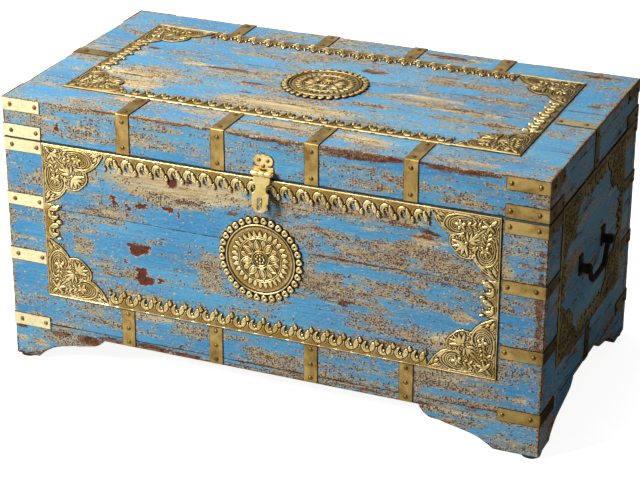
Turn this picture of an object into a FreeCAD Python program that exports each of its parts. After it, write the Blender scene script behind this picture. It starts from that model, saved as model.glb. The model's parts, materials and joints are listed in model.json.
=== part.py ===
import FreeCAD, Part
import Sketcher
import math
import os
import re

# Painted plank sea chest with brass straps, embossed brass frames, a hasp,
# two drop handles and bracket feet.
# Frame: millimetres, +Z up, +X to the chest's right as seen from the front,
# the front faces -Y, origin on the floor under the middle of the chest.

V = FreeCAD.Vector
doc = FreeCAD.newDocument("sea_chest")
dims = doc.addObject("Spreadsheet::Sheet", "dims")

CELLS = [
    # wooden box
    ("half_w", 456), ("half_d", 242), ("wall", 20),
    ("foot_z", 5), ("plinth_top", 70), ("case_top", 393.2),
    ("lid_bot", 394), ("rail_top", 440.5), ("lid_top", 460.5),
    ("front_joint_a", 207), ("front_joint_b", 280),
    ("back_joint_a", 178), ("back_joint_b", 290),
    ("side_joint", 242),
    ("lid_joint_a", -126), ("lid_joint_b", 52),
    # plinth profiles, measured from the outer corner and from the foot's sole
    ("fl_flat", 42), ("fl_ax", 98), ("fl_az", 29), ("fl_bx", 146), ("fl_bz", 38.5), ("fl_cx", 167),
    ("fr_flat", 73), ("fr_ax", 120), ("fr_az", 22), ("fr_bx", 164), ("fr_bz", 31), ("fr_cx", 196),
    ("sd_flat", 37), ("sd_ax", 80), ("sd_az", 27), ("sd_bx", 133), ("sd_bz", 39), ("sd_cx", 158),
    ("arch_front", 52.5), ("arch_side", 57), ("cove_fl", 92), ("cove_fr", 130), ("cove_sd", 92),
    ("step_r", 34),
    # bottom, blocks and glides
    ("cleat_z", 62), ("cleat_h", 14), ("cleat_d", 20), ("floor_t", 12), ("floor_joint", 74),
    ("block", 20), ("glide_r", 15), ("glide_in", 16),
    # brass sheet
    ("brass", 1.5), ("strap_h", 21.5), ("strap_leg", 69), ("strap_w", 23),
    ("flz_a", 370.8), ("flz_b", 276.5), ("flz_c", 178.5), ("flz_d", 60),
    ("frz_a", 369.3), ("frz_b", 271.5), ("frz_c", 163), ("frz_d", 57.6),
    ("blz_a", 370.8), ("blz_b", 279), ("blz_c", 174), ("blz_d", 61),
    ("brz_a", 370.8), ("brz_b", 280.5), ("brz_c", 172.5), ("brz_d", 62),
    ("lidz_a", 439), ("lidz_b", 395),
    ("lidr_a", 438.5), ("lidr_b", 394.6),
    # straps over the lid's edges (left edge of each) and their reach on the top
    ("lf_xa", -252.5), ("lf_xb", -88.5), ("lf_xc", 68.5), ("lf_xd", 229),
    ("lb_xa", -253.5), ("lb_xb", -95.5), ("lb_xc", 64.5), ("lb_xd", 222.5),
    ("lf_reach", 77), ("lb_reach", 63), ("ls_reach", 67),
    ("ls_yl", -6.5), ("ls_yr", -14), ("lstrap_z", 394.6),
    # straps under the frames on the case
    ("cf_xa", -253.5), ("cf_xb", -96.5), ("cf_xc", 67.5), ("cf_xd", 227.5),
    ("cf_z", 58.2), ("cf_h", 65), ("cs_y", -11.5), ("cs_z", 62.6), ("cs_h", 63),
    # embossed frames (their sheet) and medallions
    ("sheet_t", 1.2), ("strip", 28),
    ("ff_x", -388.2), ("ff_w", 773), ("ff_z", 124), ("ff_h", 268.4),
    ("sf_w", 348), ("sf_z", 126.2), ("sf_h", 266.2),
    ("tf_x", -388), ("tf_y", -164.5), ("tf_w", 772), ("tf_d", 343),
    ("lobe_r", 27), ("lobe_u", 66), ("lobe_v", 24), ("lobe_m", 47), ("lobe_mr", 29),
    ("med_r", 72), ("med_x", -5.5), ("med_z", 256), ("tmed_x", -3.5), ("tmed_y", 10.5),
    # nails and screws
    ("shank_r", 1.1), ("shank_l", 13), ("head_r", 3.3), ("head_h", 1.5),
    ("screw_r", 1.5), ("screw_l", 12), ("screw_hr", 3.4), ("screw_hh", 1.7),
    # hasp
    ("hasp_x", 1), ("hasp_z", 403), ("hasp_off", 7), ("hasp_tilt", 11),
    ("barrel_r", 4.5), ("barrel_l", 33), ("knuckle_l", 11), ("knuckle_gap", 0.35),
    ("hpin_r", 1.8), ("fit", 0.06), ("leaf_t", 2.4), ("leaf_w", 28), ("leaf_l", 62),
    ("leaf_end_r", 12.5), ("slot_w", 8), ("slot_l", 21), ("slot_z", 47.5),
    ("staple_wire", 1.75), ("staple_r", 6.5), ("staple_tip", 14.3), ("hplate_t", 2),
    # back hinges
    ("hinge_x", 165), ("hinge_w", 60), ("hinge_off", 7), ("hinge_z", 393.6),
    ("hinge_r", 5), ("hinge_t", 2), ("hinge_pin", 2.2), ("hinge_mid", 24), ("hinge_leaf", 44),
    # drop handles
    ("lug_y", 62), ("lug_z", 250), ("lug_w", 17), ("lug_h", 33), ("lug_low", 238), ("lug_t", 2.5),
    ("eye_r", 7.5), ("eye_off", 12.5), ("eye_l", 10),
    ("bail_r", 4), ("bail_fit", 0.3), ("bail_drop", 34), ("bail_half", 68),
    # lid stay
    ("stay_r", 150), ("stay_pz", 415), ("stay_beta", 24), ("stay_open", 100),
    ("stay_w", 17), ("stay_t", 3), ("stay_x", 428.5), ("stay_slot", 8.8), ("stud_r", 4), ("stud_head", 7),
]
NAMES = set(k for k, v in CELLS)
for i, (key, number) in enumerate(CELLS, 1):
    dims.set("A%d" % i, key)
    dims.set("B%d" % i, str(number))
    dims.setAlias("B%d" % i, key)
doc.recompute()


def g(key):
    """Number held in the named cell."""
    return float(dims.get(key))


WORD = re.compile(r"[a-z][a-z0-9_]*")


def ex(text):
    """Expression text with each cell name pointed at the sheet."""
    return WORD.sub(lambda m: "dims." + m.group(0) if m.group(0) in NAMES else m.group(0), str(text))


def bind(obj, prop, text):
    obj.setExpression(prop, ex(text))


nodes = []


def node(obj, label):
    """Mark a finished piece and give it its name."""
    obj.Label = label
    nodes.append(obj)
    return obj


DIRS = {
    "+z": FreeCAD.Rotation(),
    "-z": FreeCAD.Rotation(V(1, 0, 0), 180),
    "+x": FreeCAD.Rotation(V(0, 1, 0), 90),
    "-x": FreeCAD.Rotation(V(0, 1, 0), -90),
    "+y": FreeCAD.Rotation(V(1, 0, 0), -90),
    "-y": FreeCAD.Rotation(V(1, 0, 0), 90),
}


def box(name, x, y, z, lx, ly, lz):
    o = doc.addObject("Part::Box", name)
    bind(o, "Length", lx)
    bind(o, "Width", ly)
    bind(o, "Height", lz)
    bind(o, "Placement.Base.x", x)
    bind(o, "Placement.Base.y", y)
    bind(o, "Placement.Base.z", z)
    return o


def cyl(name, x, y, z, r, h, way="+z"):
    o = doc.addObject("Part::Cylinder", name)
    bind(o, "Radius", r)
    bind(o, "Height", h)
    o.Placement = FreeCAD.Placement(V(0, 0, 0), DIRS[way])
    bind(o, "Placement.Base.x", x)
    bind(o, "Placement.Base.y", y)
    bind(o, "Placement.Base.z", z)
    return o


def ball(name, x, y, z, r):
    o = doc.addObject("Part::Sphere", name)
    bind(o, "Radius", r)
    bind(o, "Placement.Base.x", x)
    bind(o, "Placement.Base.y", y)
    bind(o, "Placement.Base.z", z)
    return o


def fuse(name, shapes):
    o = doc.addObject("Part::MultiFuse", name)
    o.Shapes = shapes
    o.Refine = True
    return o


def cut(name, base, tool):
    o = doc.addObject("Part::Cut", name)
    o.Base = base
    o.Tool = tool
    o.Refine = True
    return o


def group(name, shapes):
    """Several equal loose pieces kept together under one name."""
    o = doc.addObject("Part::Compound", name)
    o.Links = shapes
    return o


# ---------------------------------------------------------------- boards

def board(label, x, y, z, lx, ly, lz):
    return node(box(label, x, y, z, lx, ly, lz), label)


board("front_lower_board", "-half_w", "-half_d", "plinth_top", "2*half_w", "wall", "front_joint_a-plinth_top")
board("front_middle_board", "-half_w", "-half_d", "front_joint_a", "2*half_w", "wall", "front_joint_b-front_joint_a")
board("front_upper_board", "-half_w", "-half_d", "front_joint_b", "2*half_w", "wall", "case_top-front_joint_b")
board("back_lower_board", "-half_w", "half_d-wall", "plinth_top", "2*half_w", "wall", "back_joint_a-plinth_top")
board("back_middle_board", "-half_w", "half_d-wall", "back_joint_a", "2*half_w", "wall", "back_joint_b-back_joint_a")
board("back_upper_board", "-half_w", "half_d-wall", "back_joint_b", "2*half_w", "wall", "case_top-back_joint_b")
for side, x in (("left", "-half_w"), ("right", "half_w-wall")):
    board(side + "_lower_board", x, "wall-half_d", "plinth_top", "wall", "2*(half_d-wall)", "side_joint-plinth_top")
    board(side + "_upper_board", x, "wall-half_d", "side_joint", "wall", "2*(half_d-wall)", "case_top-side_joint")


def plane_of(body, role):
    for f in body.Origin.OriginFeatures:
        if f.Role == role:
            return f
    raise RuntimeError("no plane " + role)


def profile_sketch(body, name, role, verts, arcs):
    """Closed outline. verts: (x text, y text); arcs: index of the edge's first
    corner -> (radius text, side), side +1 with the centre to the left."""
    sk = body.newObject("Sketcher::SketchObject", name)
    sk.AttachmentSupport = [(plane_of(body, role), "")]
    sk.MapMode = "FlatFace"
    scratch = doc.addObject("Spreadsheet::Sheet", "calc_" + name)
    pts = []
    for i, (xt, yt) in enumerate(verts, 1):
        scratch.set("A%d" % i, "=" + ex(xt))
        scratch.set("B%d" % i, "=" + ex(yt))
    for i, key in enumerate(sorted(arcs), 1):
        scratch.set("C%d" % i, "=" + ex(arcs[key][0]))
    doc.recompute()
    for i in range(1, len(verts) + 1):
        pts.append(V(float(scratch.get("A%d" % i)), float(scratch.get("B%d" % i)), 0))
    radii = {}
    for i, key in enumerate(sorted(arcs), 1):
        radii[key] = float(scratch.get("C%d" % i))
    doc.removeObject(scratch.Name)
    n = len(pts)
    ends = []
    for i in range(n):
        p, q = pts[i], pts[(i + 1) % n]
        if i in arcs:
            r, side = radii[i], arcs[i][1]
            chord = q - p
            half = chord.Length / 2.0
            left = V(-chord.y, chord.x, 0)
            left.normalize()
            c = (p + q) * 0.5 + left * (side * math.sqrt(r * r - half * half))
            a = math.atan2(p.y - c.y, p.x - c.x)
            b = math.atan2(q.y - c.y, q.x - c.x)
            circle = Part.Circle(c, V(0, 0, 1), r)
            if side > 0:
                sk.addGeometry(Part.ArcOfCircle(circle, a, b if b > a else b + 2 * math.pi), False)
                ends.append((1, 2))
            else:
                sk.addGeometry(Part.ArcOfCircle(circle, b, a if a > b else a + 2 * math.pi), False)
                ends.append((2, 1))
        else:
            sk.addGeometry(Part.LineSegment(p, q), False)
            ends.append((1, 2))
    for i in range(n):
        j = (i + 1) % n
        sk.addConstraint(Sketcher.Constraint("Coincident", i, ends[i][1], j, ends[j][0]))
    for i, (xt, yt) in enumerate(verts):
        if abs(pts[i].x) < 1e-9:
            sk.addConstraint(Sketcher.Constraint("PointOnObject", i, ends[i][0], -2))
        else:
            k = sk.addConstraint(Sketcher.Constraint("DistanceX", -1, 1, i, ends[i][0], pts[i].x))
            bind(sk, "Constraints[%d]" % k, xt)
        if abs(pts[i].y) < 1e-9:
            sk.addConstraint(Sketcher.Constraint("PointOnObject", i, ends[i][0], -1))
        else:
            k = sk.addConstraint(Sketcher.Constraint("DistanceY", -1, 1, i, ends[i][0], pts[i].y))
            bind(sk, "Constraints[%d]" % k, yt)
    for i in arcs:
        k = sk.addConstraint(Sketcher.Constraint("Radius", i, radii[i]))
        bind(sk, "Constraints[%d]" % k, arcs[i][0])
    return sk


def plinth(label, role, length, top, arch, a, b, cove_a, cove_b, place, rotation=None):
    """Plinth board with an arch that leaves a bracket foot at each end.
    a, b: cell prefixes of the feet at the near and the far end."""
    body = doc.addObject("PartDesign::Body", label)
    verts = [
        ("0", "0"), (a + "_flat", "0"), (a + "_ax", a + "_az"), (a + "_bx", a + "_bz"), (a + "_cx", arch),
        (length + "-" + b + "_cx", arch), (length + "-" + b + "_bx", b + "_bz"),
        (length + "-" + b + "_ax", b + "_az"), (length + "-" + b + "_flat", "0"),
        (length, "0"), (length, top), ("0", top),
    ]
    arcs = {1: (cove_a, -1), 3: ("step_r", 1), 5: ("step_r", 1), 7: (cove_b, -1)}
    sk = profile_sketch(body, label + "_outline", role, verts, arcs)
    pad = body.newObject("PartDesign::Pad", label + "_pad")
    pad.Profile = sk
    bind(pad, "Length", "wall")
    body.Tip = pad
    for axis, text in zip("xyz", place):
        bind(body, "Placement.Base." + axis, text)
    if rotation is not None:
        body.Placement = FreeCAD.Placement(body.Placement.Base, rotation)
    return node(body, label)


plinth("front_plinth", "XZ_Plane", "2*half_w", "plinth_top-foot_z", "arch_front", "fl", "fr", "cove_fl", "cove_fr",
       ("-half_w", "wall-half_d", "foot_z"))
plinth("back_plinth", "XZ_Plane", "2*half_w", "plinth_top-foot_z", "arch_front", "fl", "fr", "cove_fl", "cove_fr",
       ("-half_w", "half_d", "foot_z"))
plinth("left_plinth", "YZ_Plane", "2*(half_d-wall)", "plinth_top-foot_z", "arch_side", "sd", "sd", "cove_sd", "cove_sd",
       ("-half_w", "wall-half_d", "foot_z"))
plinth("right_plinth", "YZ_Plane", "2*(half_d-wall)", "plinth_top-foot_z", "arch_side", "sd", "sd", "cove_sd", "cove_sd",
       ("half_w-wall", "wall-half_d", "foot_z"))

# ---------------------------------------------------------------- bottom, blocks, glides

node(group("bottom_cleats", [
    box("cleat_front", "wall-half_w", "wall-half_d", "cleat_z", "2*(half_w-wall)", "cleat_d", "cleat_h"),
    box("cleat_back", "wall-half_w", "half_d-wall-cleat_d", "cleat_z", "2*(half_w-wall)", "cleat_d", "cleat_h"),
]), "bottom_cleats")
node(box("bottom_front_board", "wall-half_w", "wall-half_d", "cleat_z+cleat_h",
         "2*(half_w-wall)", "half_d-wall-floor_joint", "floor_t"), "bottom_front_board")
node(box("bottom_middle_board", "wall-half_w", "-floor_joint", "cleat_z+cleat_h",
         "2*(half_w-wall)", "2*floor_joint", "floor_t"), "bottom_middle_board")
node(box("bottom_back_board", "wall-half_w", "floor_joint", "cleat_z+cleat_h",
         "2*(half_w-wall)", "half_d-wall-floor_joint", "floor_t"), "bottom_back_board")

blocks, glides = [], []
for i, (sx, sy) in enumerate(((-1, -1), (1, -1), (-1, 1), (1, 1)), 1):
    bx = "wall-half_w" if sx < 0 else "half_w-wall-block"
    by = "wall-half_d" if sy < 0 else "half_d-wall-block"
    blocks.append(box("block_%d" % i, bx, by, "foot_z", "block", "block", "cleat_z-foot_z"))
    glides.append(cyl("glide_%d" % i, "%d*(half_w-glide_in)" % sx, "%d*(half_d-glide_in)" % sy, "0", "glide_r", "foot_z"))
node(group("foot_blocks", blocks), "foot_blocks")
node(group("foot_glides", glides), "foot_glides")

# ---------------------------------------------------------------- lid boards

board("lid_front_plank", "-half_w", "-half_d", "rail_top", "2*half_w", "half_d+lid_joint_a", "lid_top-rail_top")
board("lid_middle_plank", "-half_w", "lid_joint_a", "rail_top", "2*half_w", "lid_joint_b-lid_joint_a", "lid_top-rail_top")
board("lid_back_plank", "-half_w", "lid_joint_b", "rail_top", "2*half_w", "half_d-lid_joint_b", "lid_top-rail_top")
board("lid_front_rail", "-half_w", "-half_d", "lid_bot", "2*half_w", "wall", "rail_top-lid_bot")
board("lid_back_rail", "-half_w", "half_d-wall", "lid_bot", "2*half_w", "wall", "rail_top-lid_bot")
board("lid_left_rail", "-half_w", "wall-half_d", "lid_bot", "wall", "2*(half_d-wall)", "rail_top-lid_bot")
board("lid_right_rail", "half_w-wall", "wall-half_d", "lid_bot", "wall", "2*(half_d-wall)", "rail_top-lid_bot")

# ---------------------------------------------------------------- brass straps

def corner_strap(name, sx, sy, z):
    """L-shaped strap round an upright corner: one leg on the front or back, one on the side."""
    x0 = "-half_w-brass" if sx < 0 else "half_w+brass-strap_leg"
    y0 = "-half_d-brass" if sy < 0 else "half_d"
    long_leg = box(name + "_a", x0, y0, z, "strap_leg", "brass", "strap_h")
    x1 = "-half_w-brass" if sx < 0 else "half_w"
    y1 = "-half_d-brass" if sy < 0 else "half_d+brass-strap_leg"
    side_leg = box(name + "_b", x1, y1, z, "brass", "strap_leg", "strap_h")
    return fuse(name, [long_leg, side_leg])


def corner_set(label, which, keys):
    made = []
    for sx, sy, prefix in which:
        for k in keys:
            made.append(corner_strap("strap_%s_%s" % (prefix, k), sx, sy, "%s_%s" % (prefix, k)))
    return node(group(label, made), label)


corner_set("front_corner_straps", [(-1, -1, "flz"), (1, -1, "frz")], "abcd")
corner_set("back_corner_straps", [(-1, 1, "blz"), (1, 1, "brz")], "abcd")
lid_corners = []
for sx, sy, prefix, tag in ((-1, -1, "lidz", "fl"), (1, -1, "lidr", "fr"), (-1, 1, "lidz", "bl"), (1, 1, "lidr", "br")):
    for k in "ab":
        lid_corners.append(corner_strap("lid_strap_%s_%s" % (tag, k), sx, sy, "%s_%s" % (prefix, k)))
node(group("lid_corner_straps", lid_corners), "lid_corner_straps")


def edge_strap_y(name, x, sy, reach):
    """Strap over the lid's front or back edge."""
    yt = "-half_d-brass" if sy < 0 else "half_d+brass-(%s)" % reach
    top = box(name + "_a", x, yt, "lid_top", "strap_w", reach, "brass")
    yd = "-half_d-brass" if sy < 0 else "half_d"
    drop = box(name + "_b", x, yd, "lstrap_z", "strap_w", "brass", "lid_top+brass-lstrap_z")
    return fuse(name, [top, drop])


def edge_strap_x(name, y, sx, reach):
    """Strap over the lid's left or right edge."""
    xt = "-half_w-brass" if sx < 0 else "half_w+brass-(%s)" % reach
    top = box(name + "_a", xt, y, "lid_top", reach, "strap_w", "brass")
    xd = "-half_w-brass" if sx < 0 else "half_w"
    drop = box(name + "_b", xd, y, "lstrap_z", "brass", "strap_w", "lid_top+brass-lstrap_z")
    return fuse(name, [top, drop])


node(group("lid_front_straps", [edge_strap_y("lid_front_strap_" + k, "lf_x" + k, -1, "lf_reach") for k in "abcd"]),
     "lid_front_straps")
node(group("lid_back_straps", [edge_strap_y("lid_back_strap_" + k, "lb_x" + k, 1, "lb_reach") for k in "abcd"]),
     "lid_back_straps")
node(group("lid_side_straps", [edge_strap_x("lid_left_strap", "ls_yl", -1, "ls_reach"),
                               edge_strap_x("lid_right_strap", "ls_yr", 1, "ls_reach")]), "lid_side_straps")
node(group("case_front_straps", [box("case_front_strap_" + k, "cf_x" + k, "-half_d-brass", "cf_z", "strap_w", "brass", "cf_h")
                                 for k in "abcd"]), "case_front_straps")
node(group("case_back_straps", [box("case_back_strap_" + k, "cf_x" + k, "half_d", "cf_z", "strap_w", "brass", "cf_h")
                                for k in "abcd"]), "case_back_straps")
node(group("case_side_straps", [box("case_left_strap", "-half_w-brass", "cs_y", "cs_z", "brass", "strap_w", "cs_h"),
                                box("case_right_strap", "half_w", "cs_y", "cs_z", "brass", "strap_w", "cs_h")]),
     "case_side_straps")

# ---------------------------------------------------------------- embossed frames and medallions

TURN = {
    "front": FreeCAD.Rotation(V(1, 0, 0), 90),
    "right": FreeCAD.Rotation(V(1, 1, 1), 120),
    "left": FreeCAD.Placement(FreeCAD.Matrix(0, 0, -1, 0, -1, 0, 0, 0, 0, 1, 0, 0, 0, 0, 0, 1)).Rotation,
    "top": FreeCAD.Rotation(),
}


def brass_frame(label, w, d, turn, place):
    """Sheet brass frame: a border strip with a lobed plate in each corner."""
    ring = cut(label + "_ring", box(label + "_out", "0", "0", "0", w, d, "sheet_t"),
               box(label + "_in", "strip", "strip", "-1", "(%s)-2*strip" % w, "(%s)-2*strip" % d, "sheet_t+2"))
    bits = [ring]
    for i, (mu, mv) in enumerate(((0, 0), (1, 0), (0, 1), (1, 1)), 1):
        def at(text, far, whole):
            return "(%s)-(%s)" % (whole, text) if far else text
        for j, (u, v, r) in enumerate((("lobe_u", "lobe_v", "lobe_r"), ("lobe_m", "lobe_m", "lobe_mr"),
                                       ("lobe_v", "lobe_u", "lobe_r")), 1):
            bits.append(cyl("%s_lobe_%d%d" % (label, i, j), at(u, mu, w), at(v, mv, d), "0",
                            r, "sheet_t"))
    whole = fuse(label + "_all", bits)
    trimmed = doc.addObject("Part::MultiCommon", label)
    trimmed.Shapes = [whole, box(label + "_trim", "0", "0", "-1", w, d, "sheet_t+2")]
    trimmed.Placement = FreeCAD.Placement(V(0, 0, 0), TURN[turn])
    for axis, text in zip("xyz", place):
        bind(trimmed, "Placement.Base." + axis, text)
    return node(trimmed, label)


brass_frame("front_brass_frame", "ff_w", "ff_h", "front", ("ff_x", "-half_d", "ff_z"))
brass_frame("right_brass_frame", "sf_w", "sf_h", "right", ("half_w", "-sf_w/2", "sf_z"))
brass_frame("left_brass_frame", "sf_w", "sf_h", "left", ("-half_w", "sf_w/2", "sf_z"))
brass_frame("lid_brass_frame", "tf_w", "tf_d", "top", ("tf_x", "tf_y", "lid_top"))


def medallion(label, turn, place):
    """Stepped round boss plate."""
    o = fuse(label, [
        cyl(label + "_rim", "0", "0", "0", "med_r", "1.6"),
        cyl(label + "_ring", "0", "0", "0", "med_r*0.82", "2.4"),
        cyl(label + "_star", "0", "0", "0", "med_r*0.52", "3"),
        cyl(label + "_boss", "0", "0", "0", "med_r*0.15", "4.2"),
    ])
    o.Placement = FreeCAD.Placement(V(0, 0, 0), TURN[turn])
    for axis, text in zip("xyz", place):
        bind(o, "Placement.Base." + axis, text)
    return node(o, label)


medallion("front_medallion", "front", ("med_x", "-half_d", "med_z"))
medallion("lid_medallion", "top", ("tmed_x", "tmed_y", "lid_top"))

# ---------------------------------------------------------------- nails and screws

def turned_pin(name, r, length, hr, hh):
    """Domed head on a round shank, head up, seat at the origin."""
    body = doc.addObject("PartDesign::Body", name)
    sk = body.newObject("Sketcher::SketchObject", name + "_half")
    sk.AttachmentSupport = [(plane_of(body, "XZ_Plane"), "")]
    sk.MapMode = "FlatFace"
    rr, ll, hr_, hh_ = g(r), g(length), g(hr), g(hh)
    # dome arc: centre on the axis below the seat
    depth = (hr_ * hr_ - hh_ * hh_) / (2 * hh_)
    big = hh_ + depth
    p = [V(0, -ll, 0), V(rr, -ll, 0), V(rr, 0, 0), V(hr_, 0, 0), V(0, hh_, 0)]
    for a, b in ((0, 1), (1, 2), (2, 3)):
        sk.addGeometry(Part.LineSegment(p[a], p[b]), False)
    circle = Part.Circle(V(0, -depth, 0), V(0, 0, 1), big)
    sk.addGeometry(Part.ArcOfCircle(circle, math.atan2(depth, hr_), math.pi / 2), False)
    sk.addGeometry(Part.LineSegment(p[4], p[0]), False)
    for a, ea, b, eb in ((0, 2, 1, 1), (1, 2, 2, 1), (2, 2, 3, 1), (3, 2, 4, 1), (4, 2, 0, 1)):
        sk.addConstraint(Sketcher.Constraint("Coincident", a, ea, b, eb))
    sk.addConstraint(Sketcher.Constraint("Horizontal", 0))
    sk.addConstraint(Sketcher.Constraint("Vertical", 1))
    sk.addConstraint(Sketcher.Constraint("PointOnObject", 1, 2, -1))
    sk.addConstraint(Sketcher.Constraint("PointOnObject", 2, 2, -1))
    sk.addConstraint(Sketcher.Constraint("PointOnObject", 4, 1, -2))
    sk.addConstraint(Sketcher.Constraint("PointOnObject", 4, 2, -2))
    sk.addConstraint(Sketcher.Constraint("PointOnObject", 3, 3, -2))
    for kind, geo, pos, value, text in (("DistanceX", 1, 2, rr, r), ("DistanceX", 2, 2, hr_, hr),
                                        ("DistanceY", 4, 1, hh_, hh)):
        k = sk.addConstraint(Sketcher.Constraint(kind, -1, 1, geo, pos, value))
        bind(sk, "Constraints[%d]" % k, text)
    k = sk.addConstraint(Sketcher.Constraint("Distance", 1, ll))
    bind(sk, "Constraints[%d]" % k, length)
    rev = body.newObject("PartDesign::Revolution", name + "_turned")
    rev.Profile = sk
    rev.ReferenceAxis = (sk, ["V_Axis"])
    rev.Angle = 360
    body.Tip = rev
    return body


nail = turned_pin("nail", "shank_r", "shank_l", "head_r", "head_h")
screw = turned_pin("screw", "screw_r", "screw_l", "screw_hr", "screw_hh")
doc.recompute()


def spread(label, pattern, spots):
    """Copies of one fastener set at the given seats and directions."""
    shapes = []
    for x, y, z, way in spots:
        s = pattern.Tip.Shape.copy()
        s.Placement = FreeCAD.Placement(V(x, y, z), DIRS[way]).multiply(s.Placement)
        shapes.append(s)
    o = doc.addObject("Part::Feature", label)
    o.Shape = Part.makeCompound(shapes)
    o.Placement = FreeCAD.Placement()
    return node(o, label)


HW, HD, BR = g("half_w"), g("half_d"), g("brass")
NEAR, FAR = 16.0, 61.0


def corner_nails(sx, sy, z):
    zz = z + g("strap_h") / 2
    out = []
    for d in (NEAR, FAR):
        out.append((sx * (HW + BR - d), sy * (HD + BR), zz, "-y" if sy < 0 else "+y"))
        out.append((sx * (HW + BR), sy * (HD + BR - d - 3), zz - 2.5, "-x" if sx < 0 else "+x"))
    return out


spots = []
for sx, sy, prefix in ((-1, -1, "flz"), (1, -1, "frz"), (-1, 1, "blz"), (1, 1, "brz")):
    for k in "abcd":
        spots += corner_nails(sx, sy, g("%s_%s" % (prefix, k)))
for k in "abcd":
    x = g("cf_x" + k) + g("strap_w") / 2
    for z in (66, 90.5, 116):
        spots.append((x, -HD - BR, z, "-y"))
        spots.append((x, HD + BR, z, "+y"))
for z in (70, 94, 118):
    spots.append((-HW - BR, g("cs_y") + g("strap_w") / 2, z, "-x"))
    spots.append((HW + BR, g("cs_y") + g("strap_w") / 2, z, "+x"))
spread("case_nails", nail, spots)

spots = []
for sx, sy, prefix in ((-1, -1, "lidz"), (1, -1, "lidr"), (-1, 1, "lidz"), (1, 1, "lidr")):
    for k in "ab":
        spots += corner_nails(sx, sy, g("%s_%s" % (prefix, k)))
top = g("lid_top") + BR
for k in "abcd":
    for key, sy, reach in (("lf_x", -1, "lf_reach"), ("lb_x", 1, "lb_reach")):
        x = g(key + k) + g("strap_w") / 2
        for z in (405.5, 448.5):
            spots.append((x, sy * (HD + BR), z, "-y" if sy < 0 else "+y"))
        for d in (13, g(reach) - 9):
            spots.append((x, sy * (HD + BR - d), top, "+z"))
for sx, key in ((-1, "ls_yl"), (1, "ls_yr")):
    y = g(key) + g("strap_w") / 2
    for z in (405.5, 448.5):
        spots.append((sx * (HW + BR), y, z, "-x" if sx < 0 else "+x"))
    for d in (20, 61):
        spots.append((sx * (HW + BR - d), y, top, "+z"))
spread("lid_nails", nail, spots)

# ---------------------------------------------------------------- hasp

HX, HZ = "hasp_x", "hasp_z"
AXIS_Y = "-half_d-hasp_off"
plate_bits = [
    cyl("hplate_lobe_l", "hasp_x-7.2", "-half_d", "hasp_z+19.5", "9", "hplate_t", "-y"),
    cyl("hplate_lobe_r", "hasp_x+7.2", "-half_d", "hasp_z+19.5", "9", "hplate_t", "-y"),
    cyl("hplate_crown", HX, "-half_d", "hasp_z+22.5", "7.5", "hplate_t", "-y"),
    box("hplate_neck", "hasp_x-7", "-half_d-hplate_t", "hasp_z+5.6", "14", "hplate_t", "14"),
    box("hplate_foot", "hasp_x-barrel_l/2", "-half_d-hplate_t", "hasp_z+5.6", "barrel_l", "hplate_t", "4"),
]
for i, (s, x0) in enumerate(((-1, "hasp_x-barrel_l/2"), (1, "hasp_x+barrel_l/2-knuckle_l")), 1):
    plate_bits.append(box("hplate_web_%d" % i, x0, "-half_d-hasp_off+1", HZ, "knuckle_l", "hasp_off-1", "3.4"))
    plate_bits.append(box("hplate_leg_%d" % i, x0, "-half_d-hplate_t", HZ, "knuckle_l", "hplate_t", "9.6"))
    plate_bits.append(cyl("hplate_knuckle_%d" % i, x0, AXIS_Y, HZ, "barrel_r", "knuckle_l", "+x"))
plate_all = fuse("hplate_all", plate_bits)
node(cut("hasp_hinge_plate", plate_all,
         cyl("hplate_bore", "hasp_x-barrel_l", AXIS_Y, HZ, "hpin_r+fit", "2*barrel_l", "+x")), "hasp_hinge_plate")
node(fuse("hasp_pin", [
    cyl("hpin_shaft", "hasp_x-barrel_l/2-1", AXIS_Y, HZ, "hpin_r", "barrel_l+2", "+x"),
    cyl("hpin_head_l", "hasp_x-barrel_l/2-2.2", AXIS_Y, HZ, "hpin_r+0.9", "2", "+x"),
    cyl("hpin_head_r", "hasp_x+barrel_l/2+0.2", AXIS_Y, HZ, "hpin_r+0.9", "2", "+x"),
]), "hasp_pin")
spread("hasp_screws", screw, [(g("hasp_x") + dx, -HD - g("hplate_t"), g("hasp_z") + dz, "-y")
                              for dx, dz in ((-7.2, 20), (7.2, 20), (0, 10.8))])

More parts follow.
